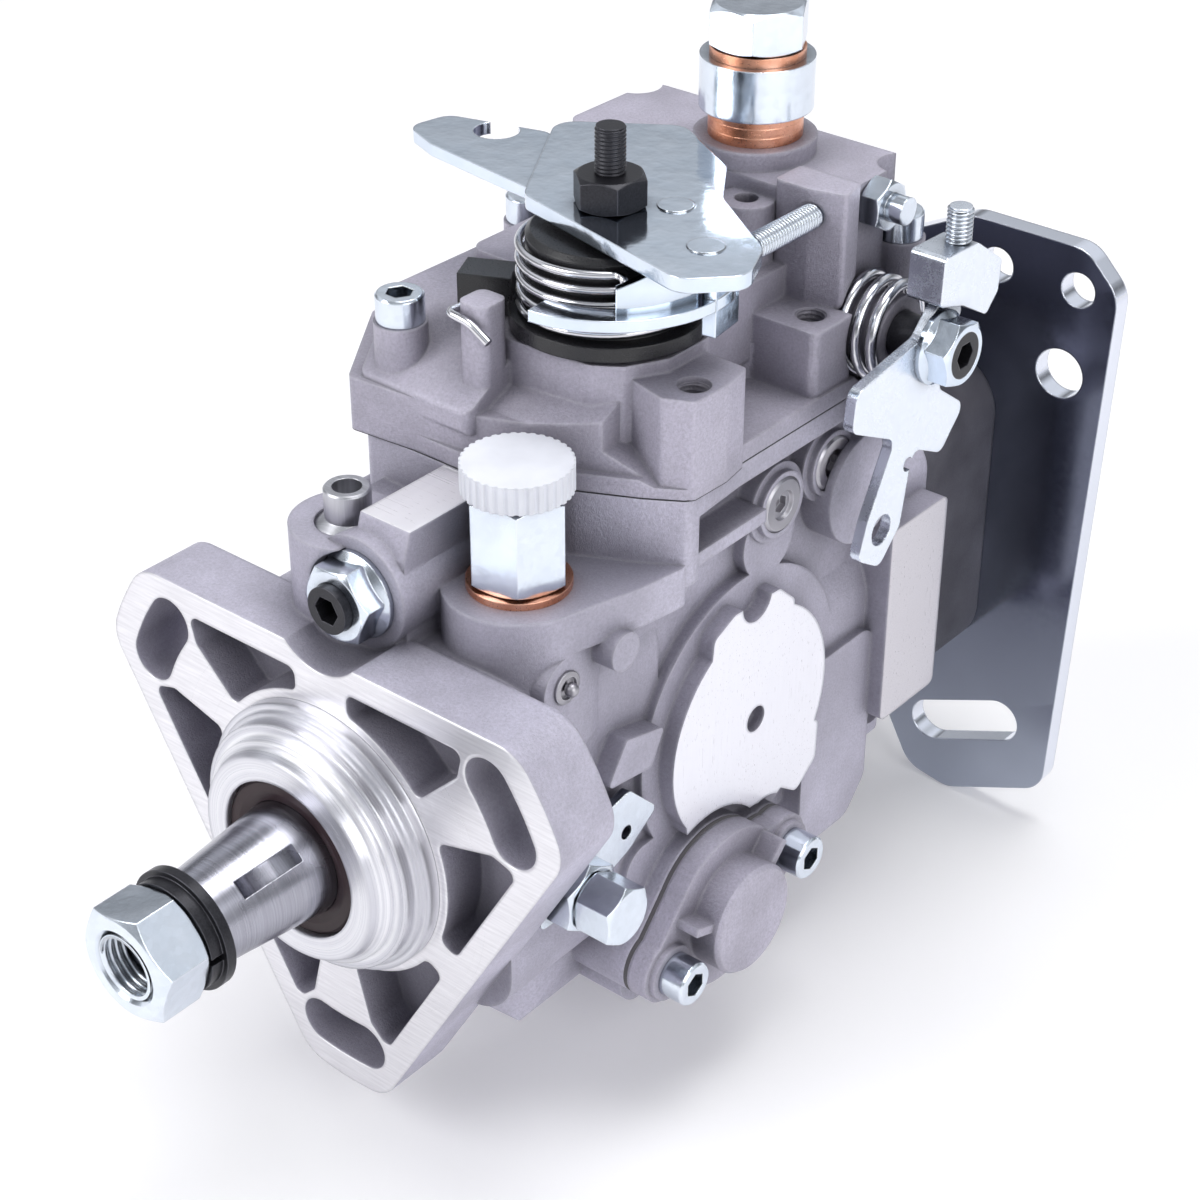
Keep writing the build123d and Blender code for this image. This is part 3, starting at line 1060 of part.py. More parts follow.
def distributor_head():
    low = 2 - HEAD_HALF
    high = HEAD_HALF + 8
    outer = outline([(-HEAD_HALF, low), (HEAD_HALF, low), (HEAD_HALF, high), (-HEAD_HALF, high)], 14)
    body = along_y(outer, REAR_Y, HEAD_END_Y)
    body += rod_y(CORE_BORE_R - FIT, 138, REAR_Y + 1)
    body += rod_y(BARREL_R, BARREL_Y, 139)
    body -= rod_y(PLUNGER_R + 0.03, BARREL_Y - 1, 152)
    for x, z in CORNERS:
        body -= rod_y(M8 / 2 + FIT, REAR_Y - 1, HEAD_END_Y + 1, x, z)
    for k in range(OUTLETS):
        angle = radians(90 + 360 / OUTLETS * k)
        place = OUTLET_CIRCLE_R * cos(angle), OUTLET_CIRCLE_R * sin(angle)
        body -= rod_y(5 + FIT, HEAD_END_Y - 10, HEAD_END_Y + 1, *place)
    return body


def delivery_valve_holders():
    stem = turned([(0, -9), (5, -9), (5, 0), (0, 0)])
    upper = turned([(0, 13), (6, 13), (6, 27), (5, 28), (0, 28)])
    body = stem + hexagon(OUTLET_ACROSS, 14) + upper - Cylinder(1.6, 90)
    items = []
    for k in range(OUTLETS):
        angle = radians(90 + 360 / OUTLETS * k)
        items.append(pointing_y(OUTLET_CIRCLE_R * cos(angle), HEAD_END_Y, OUTLET_CIRCLE_R * sin(angle)) * body)
    return items


def head_screws():
    return [pointing_y(x, BRACKET_END_Y, z) * cap_screw(M8, BRACKET_END_Y - REAR_Y + 13) for x, z in CORNERS]


def rear_bracket():
    shape = outline([(-38, -38), (11, -58), (21, -76), (33, -78), (60, -66), (61, -40), (65, 70), (56, 79), (26, 79),
                     (-38, 46)], 8)
    body = along_y(shape, HEAD_END_Y, BRACKET_END_Y)
    body -= rod_y(BRACKET_WINDOW_R, HEAD_END_Y - 1, BRACKET_END_Y + 1)
    for x, z in CORNERS:
        body -= rod_y(M8 / 2 + FIT, HEAD_END_Y - 1, BRACKET_END_Y + 1, x, z)
    for x, z, radius in BRACKET_HOLES:
        body -= rod_y(radius, HEAD_END_Y - 1, BRACKET_END_Y + 1, x, z)
    slot = Pos(*BRACKET_SLOT) * Rot(0, 0, BRACKET_SLOT_TILT) * SlotOverall(BRACKET_SLOT_LENGTH, BRACKET_SLOT_WIDTH)
    return body - along_y(slot, HEAD_END_Y - 1, BRACKET_END_Y + 1)


NODES = {
    "pump_housing": pump_housing,
    "shaft_seal": shaft_seal,
    "shaft_bush": shaft_bush,
    "drive_shaft": drive_shaft,
    "shaft_washers": shaft_washers,
    "shaft_nut": shaft_nut,
    "feed_pump_ring": feed_pump_ring,
    "feed_pump_rotor": feed_pump_rotor,
    "feed_pump_vanes": feed_pump_vanes,
    "feed_pump_plate": feed_pump_plate,
    "governor_drive_gear": governor_drive_gear,
    "cross_disc": cross_disc,
    "cam_plate": cam_plate,
    "plunger": plunger,
    "plunger_springs": plunger_springs,
    "control_collar": control_collar,
    "roller_ring": roller_ring,
    "rollers": rollers,
    "timing_piston": timing_piston,
    "timing_spring": timing_spring,
    "timing_gaskets": timing_gaskets,
    "timing_cover": timing_cover,
    "timing_cover_left": timing_cover_left,
    "timing_screws": timing_screws,
    "governor_shaft": governor_shaft,
    "governor_shaft_nut": governor_shaft_nut,
    "flyweight_carrier": flyweight_carrier,
    "governor_sleeve": governor_sleeve,
    "governor_lever": governor_lever,
    "correction_lever": correction_lever,
    "lever_pivot_bolts": lever_pivot_bolts,
    "governor_spring": governor_spring,
    "governor_cover": governor_cover,
    "cover_screws": cover_screws,
    "regulating_valve": regulating_valve,
    "inlet_fitting": inlet_fitting,
    "copper_washers": copper_washers,
    "inlet_cap": inlet_cap,
    "return_fittings": return_fittings,
    "adjusting_screws": adjusting_screws,
    "control_shaft": control_shaft,
    "spring_seat": spring_seat,
    "throttle_spring": throttle_spring,
    "throttle_lever": throttle_lever,
    "throttle_nut": throttle_nut,
    "stop_shaft": stop_shaft,
    "stop_lever": stop_lever,
    "stop_nut": stop_nut,
    "stop_spring": stop_spring,
    "ball_plug": ball_plug,
    "seal_tab": seal_tab,
    "distributor_head": distributor_head,
    "delivery_valve_holders": delivery_valve_holders,
    "head_screws": head_screws,
    "rear_bracket": rear_bracket,
}


def save(name, result):
    solids = []
    for item in result if isinstance(result, list) else [result]:
        solids += item.solids()
    shape = solids[0] if len(solids) == 1 else Compound(children=solids)
    export_step(shape, f"parts/{name}.step")


os.makedirs("parts", exist_ok=True)
for name, build in NODES.items():
    save(name, build())
for number, angle in enumerate(carrier_axes(), 1):
    save(f"flyweight_{number}", flyweight(angle))
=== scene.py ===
from math import cos, pi, radians, sin

import bpy
from mathutils import Matrix, Vector


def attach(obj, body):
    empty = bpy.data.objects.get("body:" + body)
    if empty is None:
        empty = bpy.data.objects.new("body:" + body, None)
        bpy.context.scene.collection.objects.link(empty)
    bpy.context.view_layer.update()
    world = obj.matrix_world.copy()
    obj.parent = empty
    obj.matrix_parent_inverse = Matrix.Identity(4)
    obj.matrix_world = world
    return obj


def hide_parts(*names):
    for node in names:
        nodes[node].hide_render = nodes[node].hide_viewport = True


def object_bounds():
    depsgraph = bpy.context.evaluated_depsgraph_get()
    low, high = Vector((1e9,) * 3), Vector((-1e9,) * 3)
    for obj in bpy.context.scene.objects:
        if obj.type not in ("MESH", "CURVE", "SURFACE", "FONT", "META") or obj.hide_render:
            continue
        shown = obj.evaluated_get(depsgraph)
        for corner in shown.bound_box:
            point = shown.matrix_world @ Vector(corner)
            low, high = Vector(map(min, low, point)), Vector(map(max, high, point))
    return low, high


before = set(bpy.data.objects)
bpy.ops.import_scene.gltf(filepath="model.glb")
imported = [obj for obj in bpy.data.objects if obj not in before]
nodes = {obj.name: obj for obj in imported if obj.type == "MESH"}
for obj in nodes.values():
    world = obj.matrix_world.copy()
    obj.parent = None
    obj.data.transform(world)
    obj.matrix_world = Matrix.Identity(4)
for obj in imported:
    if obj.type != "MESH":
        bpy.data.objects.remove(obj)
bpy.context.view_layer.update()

MM = 0.001

# Camera, in the photograph's place
RIGHT = Vector((0.7690, 0.6392, 0.0))
UP = Vector((-0.3412, 0.4105, 0.8456))
BACK = Vector((0.5405, -0.6503, 0.5338))
EYE = Vector((0.2992, -0.2756, 0.3086))
LENS = 75.51
SHIFT_X = 0.0011
SHIFT_Y = 0.0035


def add_camera():
    data = bpy.data.cameras.new("camera")
    data.lens = LENS
    data.sensor_width = 36
    data.shift_x = SHIFT_X
    data.shift_y = SHIFT_Y
    data.clip_start = 0.01
    data.clip_end = 20
    camera = bpy.data.objects.new("camera", data)
    turn = Matrix((RIGHT, UP, BACK)).transposed().to_4x4()
    camera.matrix_world = Matrix.Translation(EYE) @ turn
    bpy.context.scene.collection.objects.link(camera)
    bpy.context.scene.camera = camera


# Places on the castings, in metres: the joint between housing and cover, and the worked faces
SEAM_Z = 0.0665
RIB_Z = 0.066
DISC_X = 0.042
DISC_Y = 0.085
DISC_R = 0.0345
PAD_X = 0.044
PAD_Y = 0.130

# How far a surface may lie from such a place and still count, then the depth of the castings' grain
FACE_SLACK = 0.0002
RIB_SLACK = 0.0003
SEAM_SLACK = 0.00018
GRAIN_DEPTH = 0.00027

SHARP_ANGLE = radians(28)
SOCKETS = {"colour": "Base Color", "metal": "Metallic", "rough": "Roughness", "normal": "Normal",
           "specular": "Specular IOR Level"}


def scaled(colour, share):
    return tuple(min(1.0, share * level) for level in colour)


class Net:
    """The node tree of a material or world, with short calls for the nodes in common use."""

    def __init__(self, owner, shader="Principled BSDF"):
        owner.use_nodes = True
        self.owner = owner
        self.tree = owner.node_tree
        self.shader = self.tree.nodes[shader]
        self.coords = self.tree.nodes.new("ShaderNodeTexCoord")
        self.place = self.coords.outputs["Object"]
        self.normal = self.coords.outputs["Normal"]

    def put(self, socket, value):
        if isinstance(value, bpy.types.NodeSocket):
            self.tree.links.new(value, socket)
        elif value is not None:
            socket.default_value = value

    def add(self, kind, values=(), **settings):
        node = self.tree.nodes.new(kind)
        for key, value in settings.items():
            setattr(node, key, value)
        for key, value in dict(values).items():
            self.put(node.inputs[key], value)
        return node

    def math(self, operation, a, b=None):
        return self.add("ShaderNodeMath", {0: a, 1: b}, operation=operation).outputs[0]

    def split(self, vector):
        return self.add("ShaderNodeSeparateXYZ", {0: vector}).outputs

    def join(self, x, y, z):
        return self.add("ShaderNodeCombineXYZ", {0: x, 1: y, 2: z}).outputs[0]

    def noise(self, scale, detail, rough, vector=None):
        values = {"Vector": vector or self.place, "Scale": scale, "Detail": detail, "Roughness": rough}
        return self.add("ShaderNodeTexNoise", values).outputs["Fac"]

    def cells(self, scale):
        return self.add("ShaderNodeTexVoronoi", {"Vector": self.place, "Scale": scale}).outputs["Color"]

    def fit(self, value, low, high, to_low=0.0, to_high=1.0):
        """Maps low..high to to_low..to_high, clamped."""
        return self.add("ShaderNodeMapRange", {0: value, 1: low, 2: high, 3: to_low, 4: to_high}).outputs[0]

    def mix(self, factor, a, b):
        node = self.add("ShaderNodeMix", data_type="RGBA")
        for socket, value in ((0, factor), (6, a), (7, b)):
            if isinstance(value, tuple):
                value = (*value, 1.0)
            self.put(node.inputs[socket], value)
        return node.outputs[2]

    def blend(self, factor, a, b):
        """A number between a and b."""
        return self.add("ShaderNodeMix", {0: factor, 2: a, 3: b}, data_type="FLOAT").outputs[0]

    def edges(self, radius):
        """How near a surface is to an edge, and the rounded normal there."""
        bevel = self.add("ShaderNodeBevel", {"Radius": radius}, samples=6)
        rounded = bevel.outputs[0]
        flat = self.add("ShaderNodeNewGeometry").outputs["Normal"]
        dot = self.add("ShaderNodeVectorMath", {0: rounded, 1: flat}, operation="DOT_PRODUCT")
        return self.fit(dot.outputs["Value"], 0.995, 0.80), rounded

    def open_sky(self, distance):
        """1 on open faces, falling towards 0 deep inside corners and holes."""
        return self.add("ShaderNodeAmbientOcclusion", {"Distance": distance}, samples=6).outputs["AO"]

    def bump(self, height, distance, strength, normal):
        values = {"Height": height, "Distance": distance, "Strength": strength, "Normal": normal}
        return self.add("ShaderNodeBump", values).outputs[0]

    def near(self, value, place, slack):
        """1 where value is within slack of place."""
        above = self.math("GREATER_THAN", value, place - slack)
        return self.math("MULTIPLY", above, self.math("LESS_THAN", value, place + slack))

    def facing(self, axis, limit=0.9):
        """1 where the surface faces along an axis, either way."""
        return self.math("GREATER_THAN", self.math("ABSOLUTE", self.split(self.normal)[axis]), limit)

    def distance(self, a, b):
        """The length of the vector (a, b)."""
        return self.math("SQRT", self.math("ADD", self.math("MULTIPLY", a, a), self.math("MULTIPLY", b, b)))

    def streaks(self, detail, rough, *terms):
        """Noise drawn out along a direction: one (coordinate, lines per metre) for each axis used."""
        drawn = [self.math("MULTIPLY", value, lines) for value, lines in terms]
        return self.noise(1.0, detail, rough, self.join(*drawn, *[0.0] * (3 - len(drawn))))

    def finish(self, **values):
        for key, value in values.items():
            self.put(self.shader.inputs[SOCKETS[key]], value)
        return self.owner


def machined_faces(net):
    """Masks of the housing's worked faces: turned pilot, flange face, side disc, side pad and rib top."""
    x, y, z = net.split(net.place)
    turned = net.math("LESS_THAN", y, -FACE_SLACK)
    front = net.math("MULTIPLY", net.near(y, 0.0, FACE_SLACK), net.facing(1))
    side = net.math("ABSOLUTE", x)
    reach = net.distance(net.math("SUBTRACT", y, DISC_Y), z)
    disc = net.math("MULTIPLY", net.near(side, DISC_X, FACE_SLACK), net.facing(0))
    disc = net.math("MULTIPLY", disc, net.math("LESS_THAN", reach, DISC_R))
    pad = net.math("MULTIPLY", net.near(side, PAD_X, FACE_SLACK), net.facing(0))
    pad = net.math("MULTIPLY", pad, net.math("GREATER_THAN", y, PAD_Y))
    rib = net.math("MULTIPLY", net.near(z, RIB_Z, RIB_SLACK), net.facing(2))
    return turned, front, disc, pad, rib


def cast_metal(name, colour, housing=False):
    """Shot-blasted cast aluminium: fine grain, soft clouds, edges painted lighter (partly wear, partly a
    painted highlight) and painted shade in corners.
    """
    net = Net(bpy.data.materials.new(name))
    grain = net.noise(1500, 4, 0.75)
    fine = net.noise(4200, 2, 0.6)
    cloud = net.noise(42, 4, 0.55)
    edge, rounded = net.edges(0.0012)
    tone = net.mix(net.fit(cloud, 0.38, 0.62), scaled(colour, 0.84), scaled(colour, 1.10))
    speck = net.fit(grain, 0.36, 0.68)
    tone = net.mix(net.math("MULTIPLY", speck, 0.42), tone, scaled(colour, 0.50))
    # Lighter near edges: partly wear, partly a painted highlight.
    tone = net.mix(net.math("MULTIPLY", edge, 0.30), tone, (0.74, 0.73, 0.79))
    # Painted shade: darker deep in corners, holes and recesses, where shade falls.
    shade = net.fit(net.open_sky(0.014), 0.35, 0.95, 0.72, 0.0)
    tone = net.mix(shade, tone, scaled(colour, 0.22))
    x, y, z = net.split(net.place)
    tone = net.mix(net.near(z, SEAM_Z, SEAM_SLACK), tone, (0.05, 0.05, 0.055))
    rough = net.fit(grain, 0.3, 0.7, 0.38, 0.54)
    height = net.math("ADD", grain, net.math("MULTIPLY", fine, 0.4))
    if not housing:
        normal = net.bump(height, GRAIN_DEPTH, 0.9, rounded)
        return net.finish(colour=tone, metal=0.35, rough=rough, normal=normal, specular=0.5)
    turned, front, disc, pad, rib = machined_faces(net)
    radius = net.distance(x, z)
    rings = net.streaks(3, 0.7, (radius, 2600), (y, 2600))
    strokes = net.streaks(3, 0.6, (x, 90), (z, 1500))
    sweeps = net.streaks(3, 0.6, (y, 1300), (z, 90))
    bands = net.streaks(2, 0.5, (radius, 420), (y, 420))
    bright = net.mix(net.fit(rings, 0.35, 0.65), (0.72, 0.72, 0.76), (0.90, 0.90, 0.92))
    # The broad darker bands on the turned pilot are a painted reflection.
    bright = net.mix(net.fit(bands, 0.35, 0.62, 0.0, 0.55), bright, (0.42, 0.42, 0.48))
    milled = net.mix(net.fit(strokes, 0.3, 0.7), (0.70, 0.69, 0.72), (0.84, 0.83, 0.86))
    # The side disc is painted near white: a machined face with a painted highlight.
    white = net.mix(net.fit(sweeps, 0.3, 0.7), (0.89, 0.89, 0.95), (0.92, 0.92, 0.98))
    satin = net.mix(net.fit(fine, 0.3, 0.7), (0.60, 0.58, 0.62), (0.70, 0.68, 0.72))
    for mask, paint in ((rib, milled), (pad, satin), (disc, white), (front, milled), (turned, bright)):
        tone = net.mix(mask, tone, paint)
    worked = turned
    for mask in (front, disc, pad, rib):
        worked = net.math("MAXIMUM", worked, mask)
    rough = net.blend(worked, rough, net.fit(rings, 0.3, 0.7, 0.26, 0.36))
    metal = net.blend(net.math("MAXIMUM", turned, front), 0.35, 0.85)
    lathe = net.math("MULTIPLY", rings, turned)
    skin = net.math("MULTIPLY", height, net.math("SUBTRACT", 1.0, worked))
    relief = net.math("ADD", net.math("MULTIPLY", lathe, 0.25), skin)
    normal = net.bump(relief, GRAIN_DEPTH, 0.9, rounded)
    return net.finish(colour=tone, metal=metal, rough=rough, normal=normal, specular=0.5)


def zinc(name, colour=(0.70, 0.76, 0.84), spangle=0.25, rough=(0.12, 0.26)):
    """Bright zinc plating: bluish, with faint crystals and a wavy gloss, a painted highlight on its edges
    and painted shade in its sockets and slots.
    """
    net = Net(bpy.data.materials.new(name))
    cells = net.cells(650)
    cloud = net.noise(120, 3, 0.6)
    fine = net.noise(3000, 2, 0.6)
    edge, rounded = net.edges(0.0004)
    flake = net.split(cells)[0]
    tone = net.mix(net.math("MULTIPLY", flake, spangle), colour, scaled(colour, 0.72))
    tone = net.mix(net.fit(cloud, 0.35, 0.7, 0.0, 0.3), tone, (0.86, 0.90, 0.97))
    # Lighter near edges: a painted highlight.
    tone = net.mix(net.math("MULTIPLY", edge, 0.6), tone, (0.93, 0.95, 0.98))
    # Painted shade: near black deep in sockets and slots, where shade falls.
    tone = net.mix(net.fit(net.open_sky(0.005), 0.30, 0.90, 0.80, 0.0), tone, (0.05, 0.055, 0.065))
    value = net.fit(net.math("ADD", cloud, net.math("MULTIPLY", fine, 0.4)), 0.45, 0.95, rough[0], rough[1])
    normal = net.bump(net.math("ADD", cloud, net.math("MULTIPLY", fine, 0.05)), 0.00035, 0.25, rounded)
    return net.finish(colour=tone, metal=1.0, rough=value, normal=normal)


def steel(name, colour, rough, along, lines):
    """Turned or ground steel: fine rings round the axis that it was turned on."""
    net = Net(bpy.data.materials.new(name))
    parts = net.split(net.place)
    rings = net.streaks(3, 0.65, *((parts[i], lines if i == along else 40) for i in range(3)))
    cloud = net.noise(80, 3, 0.5)
    edge, rounded = net.edges(0.0003)
    tone = net.mix(net.fit(rings, 0.3, 0.7), scaled(colour, 0.82), scaled(colour, 1.12))
    # Lighter near edges: a painted highlight.
    tone = net.mix(net.math("MULTIPLY", edge, 0.5), tone, (0.85, 0.86, 0.90))
    value = net.fit(cloud, 0.3, 0.7, rough - 0.05, rough + 0.08)
    return net.finish(colour=tone, metal=1.0, rough=value, normal=net.bump(rings, 0.00004, 0.4, rounded))


def black_oxide(name):
    """Blackened steel, a little grey on its edges."""
    net = Net(bpy.data.materials.new(name))
    colour = (0.018, 0.018, 0.022)
    grain = net.noise(2400, 3, 0.6)
    edge, rounded = net.edges(0.0004)
    tone = net.mix(net.fit(grain, 0.3, 0.7), colour, scaled(colour, 1.8))
    # Greyer near edges: a painted highlight.
    tone = net.mix(net.math("MULTIPLY", edge, 0.4), tone, (0.20, 0.20, 0.23))
    value = net.fit(grain, 0.3, 0.7, 0.28, 0.42)
    return net.finish(colour=tone, metal=0.6, rough=value, normal=net.bump(grain, 0.00006, 0.5, rounded))


def dark_casting(name):
    """The dark head: fine grained, with soft sheen."""
    net = Net(bpy.data.materials.new(name))
    grain = net.noise(2100, 4, 0.7)
    cloud = net.noise(55, 3, 0.5)
    edge, rounded = net.edges(0.0014)
    tone = net.mix(net.fit(cloud, 0.35, 0.65), (0.075, 0.072, 0.085), (0.13, 0.125, 0.145))
    # Lighter near edges: a painted highlight.
    tone = net.mix(net.math("MULTIPLY", edge, 0.35), tone, (0.20, 0.20, 0.22))
    value = net.fit(grain, 0.3, 0.7, 0.36, 0.50)
    return net.finish(colour=tone, metal=0.45, rough=value, normal=net.bump(grain, 0.0001, 0.6, rounded))


def dark_plate(name):
    """The rear plate: smooth dark zinc with bright cut edges, painted lighter towards the bottom and near
    its edges as painted light.
    """
    net = Net(bpy.data.materials.new(name))
    z = net.split(net.place)[2]
    cloud = net.noise(26, 3, 0.5)
    fine = net.noise(900, 3, 0.6)
    edge, rounded = net.edges(0.0006)
    # Painted light and shade: the plate's face is painted lighter towards the bottom and darker towards the
    # top.
    low = net.fit(z, -0.078, 0.02, 1.0, 0.0)
    face = net.mix(low, (0.19, 0.21, 0.27), (0.46, 0.50, 0.59))
    face = net.mix(net.fit(cloud, 0.35, 0.7, 0.0, 0.30), face, (0.20, 0.22, 0.28))
    cut = net.math("SUBTRACT", 1.0, net.facing(1, 0.7))
    tone = net.mix(cut, face, (0.74, 0.77, 0.85))
    # Lighter near edges: a painted highlight.
    tone = net.mix(net.math("MULTIPLY", edge, 0.6), tone, (0.80, 0.83, 0.90))
    value = net.fit(fine, 0.3, 0.7, 0.12, 0.20)
    waves = net.math("ADD", cloud, net.math("MULTIPLY", fine, 0.02))
    return net.finish(colour=tone, metal=1.0, rough=value, normal=net.bump(waves, 0.001, 0.12, rounded))


def copper(name):
    """Soft copper, finely brushed."""
    net = Net(bpy.data.materials.new(name))
    cloud = net.noise(160, 3, 0.6)
    fine = net.noise(2600, 3, 0.6)
    edge, rounded = net.edges(0.0003)
    tone = net.mix(net.fit(cloud, 0.35, 0.65), (0.62, 0.25, 0.14), (0.78, 0.40, 0.27))
    # Lighter near edges: a painted highlight.
    tone = net.mix(net.math("MULTIPLY", edge, 0.5), tone, (0.92, 0.60, 0.46))
    value = net.fit(fine, 0.3, 0.7, 0.24, 0.40)
    return net.finish(colour=tone, metal=1.0, rough=value, normal=net.bump(fine, 0.00006, 0.5, rounded))


def moulded(name, colour, rough, light=None, specular=0.5):
    """Moulded plastic or rubber."""
    net = Net(bpy.data.materials.new(name))
    cloud = net.noise(140, 3, 0.5)
    fine = net.noise(3800, 2, 0.6)
    edge, rounded = net.edges(0.0004)
    tone = net.mix(net.fit(cloud, 0.35, 0.65), scaled(colour, 0.93), colour)
    # Edges are painted towards the light colour: a painted highlight.
    if light:
        tone = net.mix(net.math("MULTIPLY", edge, 0.4), tone, light)
    value = net.fit(fine, 0.3, 0.7, rough - 0.05, rough + 0.06)
    normal = net.bump(fine, 0.00005, 0.5, rounded)
    return net.finish(colour=tone, metal=0.0, rough=value, normal=normal, specular=specular)


housing_metal = cast_metal("cast_housing", (0.575, 0.555, 0.66), True)
cover_metal = cast_metal("cast_cover", (0.535, 0.51, 0.605))
bright_zinc = zinc("zinc_bright")
mirror_zinc = zinc("zinc_mirror", (0.66, 0.74, 0.84), 0.08, (0.06, 0.16))
pale_zinc = zinc("zinc_pale", (0.80, 0.85, 0.93), 0.14, (0.20, 0.34))
shaft_steel = steel("shaft_steel", (0.36, 0.36, 0.41), 0.22, 1, 2600)
tool_steel = steel("tool_steel", (0.50, 0.50, 0.53), 0.30, 1, 1800)
side_steel = steel("side_steel", (0.42, 0.41, 0.44), 0.36, 0, 1800)
wire_steel = steel("spring_wire", (0.66, 0.66, 0.69), 0.13, 2, 300)
black_metal = black_oxide("black_oxide")
head_metal = dark_casting("dark_head")
plate_metal = dark_plate("dark_plate")
copper_metal = copper("copper")
white_plastic = moulded("white_plastic", (0.80, 0.82, 0.88), 0.36, (0.92, 0.93, 0.97))
black_plastic = moulded("black_plastic", (0.012, 0.012, 0.014), 0.30)
seal_rubber = moulded("seal_rubber", (0.030, 0.014, 0.017), 0.42, None, 0.25)
gasket_fibre = moulded("gasket_fibre", (0.11, 0.105, 0.11), 0.6)
bronze = steel("bronze", (0.60, 0.42, 0.22), 0.34, 1, 1500)

MATERIALS = [
    (housing_metal, "pump_housing"),
    (cover_metal, "governor_cover timing_cover timing_cover_left"),
    (bright_zinc, "shaft_nut governor_shaft_nut inlet_fitting return_fittings seal_tab"),
    (bright_zinc, "cover_screws timing_screws head_screws"),
    (mirror_zinc, "throttle_lever stop_nut adjusting_screws"),
    (pale_zinc, "stop_lever"),
    (shaft_steel, "drive_shaft"),
    (side_steel, "lever_pivot_bolts ball_plug"),
    (black_metal, "shaft_washers throttle_nut governor_shaft stop_shaft control_shaft"),
    (head_metal, "distributor_head"),
    (plate_metal, "rear_bracket"),
    (copper_metal, "copper_washers"),
    (white_plastic, "inlet_cap"),
    (black_plastic, "spring_seat"),
    (seal_rubber, "shaft_seal"),
    (gasket_fibre, "timing_gaskets"),
    (bronze, "shaft_bush"),
    (wire_steel, "plunger_springs timing_spring governor_spring throttle_spring stop_spring"),
]
dressed = {}
for material, names in MATERIALS:
    for name in names.split():
        dressed[name] = material
for name, node in nodes.items():
    node.data.materials.clear()
    node.data.materials.append(dressed.get(name, tool_steel))


def add_piece(name, shape, material, body):
    """Links a mesh or curve as a piece that rides on a body."""
    shape.materials.append(material)
    piece = bpy.data.objects.new(name, shape)
    bpy.context.scene.collection.objects.link(piece)
    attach(piece, body)
    return piece


def thread(name, place, axis, crest, root, pitch, length, material, body, slot):
    """A screw thread as a helical ridge, in millimetres. A crest inside the root makes an inner thread."""
    steps = 40
    profile = [(root, -0.5), (crest, -0.09), (crest, 0.09), (root, 0.5)]
    count = int(length / pitch * steps) + steps
    vertices = []
    for k in range(count + 1):
        angle = 2 * pi * k / steps
        centre = pitch * k / steps - pitch / 2
        for radius, offset in profile:
            z = min(max(centre + offset * pitch, 0.0), length)
            vertices.append((radius * cos(angle) * MM, radius * sin(angle) * MM, z * MM))
    faces = []
    for k in range(count):
        for j in range(3):
            a = 4 * k + j
            faces.append((a, a + 4, a + 5, a + 1))
    mesh = bpy.data.meshes.new(name)
    mesh.from_pydata(vertices, [], faces)
    mesh.validate()
    mesh.shade_smooth()
    mesh.set_sharp_from_angle(angle=radians(25))
    turn = Vector(axis).to_track_quat("Z", "Y").to_matrix().to_4x4()
    mesh.transform(Matrix.Translation(Vector(place) * MM) @ turn)
    add_piece(name, mesh, material, body)


def wire(name, points, diameter, material, body, replaced=None):
    """Round wire along points in millimetres."""
    curve = bpy.data.curves.new(name, "CURVE")
    curve.dimensions = "3D"
    curve.bevel_depth = diameter / 2 * MM
    curve.bevel_resolution = 5
    curve.use_fill_caps = True
    spline = curve.splines.new("POLY")
    spline.points.add(len(points) - 1)
    for point, place in zip(spline.points, points):
        point.co = (*(Vector(place) * MM), 1.0)
    spline.use_smooth = True
    piece = add_piece(name, curve, material, body)
    if replaced:
        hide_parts(replaced)


def rounded_path(points, radius):
    """A path through points with its corners rounded."""
    steps = 8
    path = [Vector(points[0])]
    for before, corner, after in zip(points, points[1:], points[2:]):
        before, corner, after = Vector(before), Vector(corner), Vector(after)
        cut = min(radius, (before - corner).length / 2, (after - corner).length / 2)
        a = corner + (before - corner).normalized() * cut
        b = corner + (after - corner).normalized() * cut
        for k in range(steps + 1):
            t = k / steps
            path.append(a * (1 - t) ** 2 + corner * 2 * t * (1 - t) + b * t * t)
    path.append(Vector(points[-1]))
    return path


# Places in millimetres, as in the CAD model: the levers' axes and what their springs rest on
THROTTLE_AXIS = (14, 71)
THROTTLE_SPRING_Z = 96.15
THROTTLE_SPRING_TURN = radians(224)
STOP_AXIS = (125, 78.5)
STOP_WALL_X = 35.0
STOP_HUB_X = 49.9
COIL_STEPS = 72


def throttle_spring():
    """The coil under the throttle lever, with its upper end bent down."""
    mean, height, turns = 17.75, 13.1, 4.25
    count = int(turns * COIL_STEPS)
    points = []
    for k in range(count + 1):
        angle = 2 * pi * k / COIL_STEPS
        points.append(Vector((mean * cos(angle), mean * sin(angle), height * k / count)))
    tail = rounded_path([points[-1], (-1.2, mean + 2.2, height), (-0.4, mean + 2.2, height - 8.5)], 1.2)
    points += tail[1:]
    turn = Matrix.Rotation(THROTTLE_SPRING_TURN, 4, "Z")
    place = Matrix.Translation((*THROTTLE_AXIS, THROTTLE_SPRING_Z)) @ turn
    points = [place @ point for point in points]
    wire("throttle_spring_wire", points, 1.7, wire_steel, "base", "throttle_spring")


def stop_spring():
    """The coil between the cover's side and the stop lever's hub."""
    mean, diameter, turns = 10.3, 2.4, 3.25
    y, z = STOP_AXIS
    start = STOP_WALL_X + diameter / 2 + 0.2
    length = STOP_HUB_X - diameter / 2 - start
    count = int(turns * COIL_STEPS)
    points = []
    for k in range(count + 1):
        angle = 2 * pi * k / COIL_STEPS
        points.append((start + length * k / count, y + mean * sin(angle), z - mean * cos(angle)))
    wire("stop_spring_wire", points, diameter, wire_steel, "base", "stop_spring")


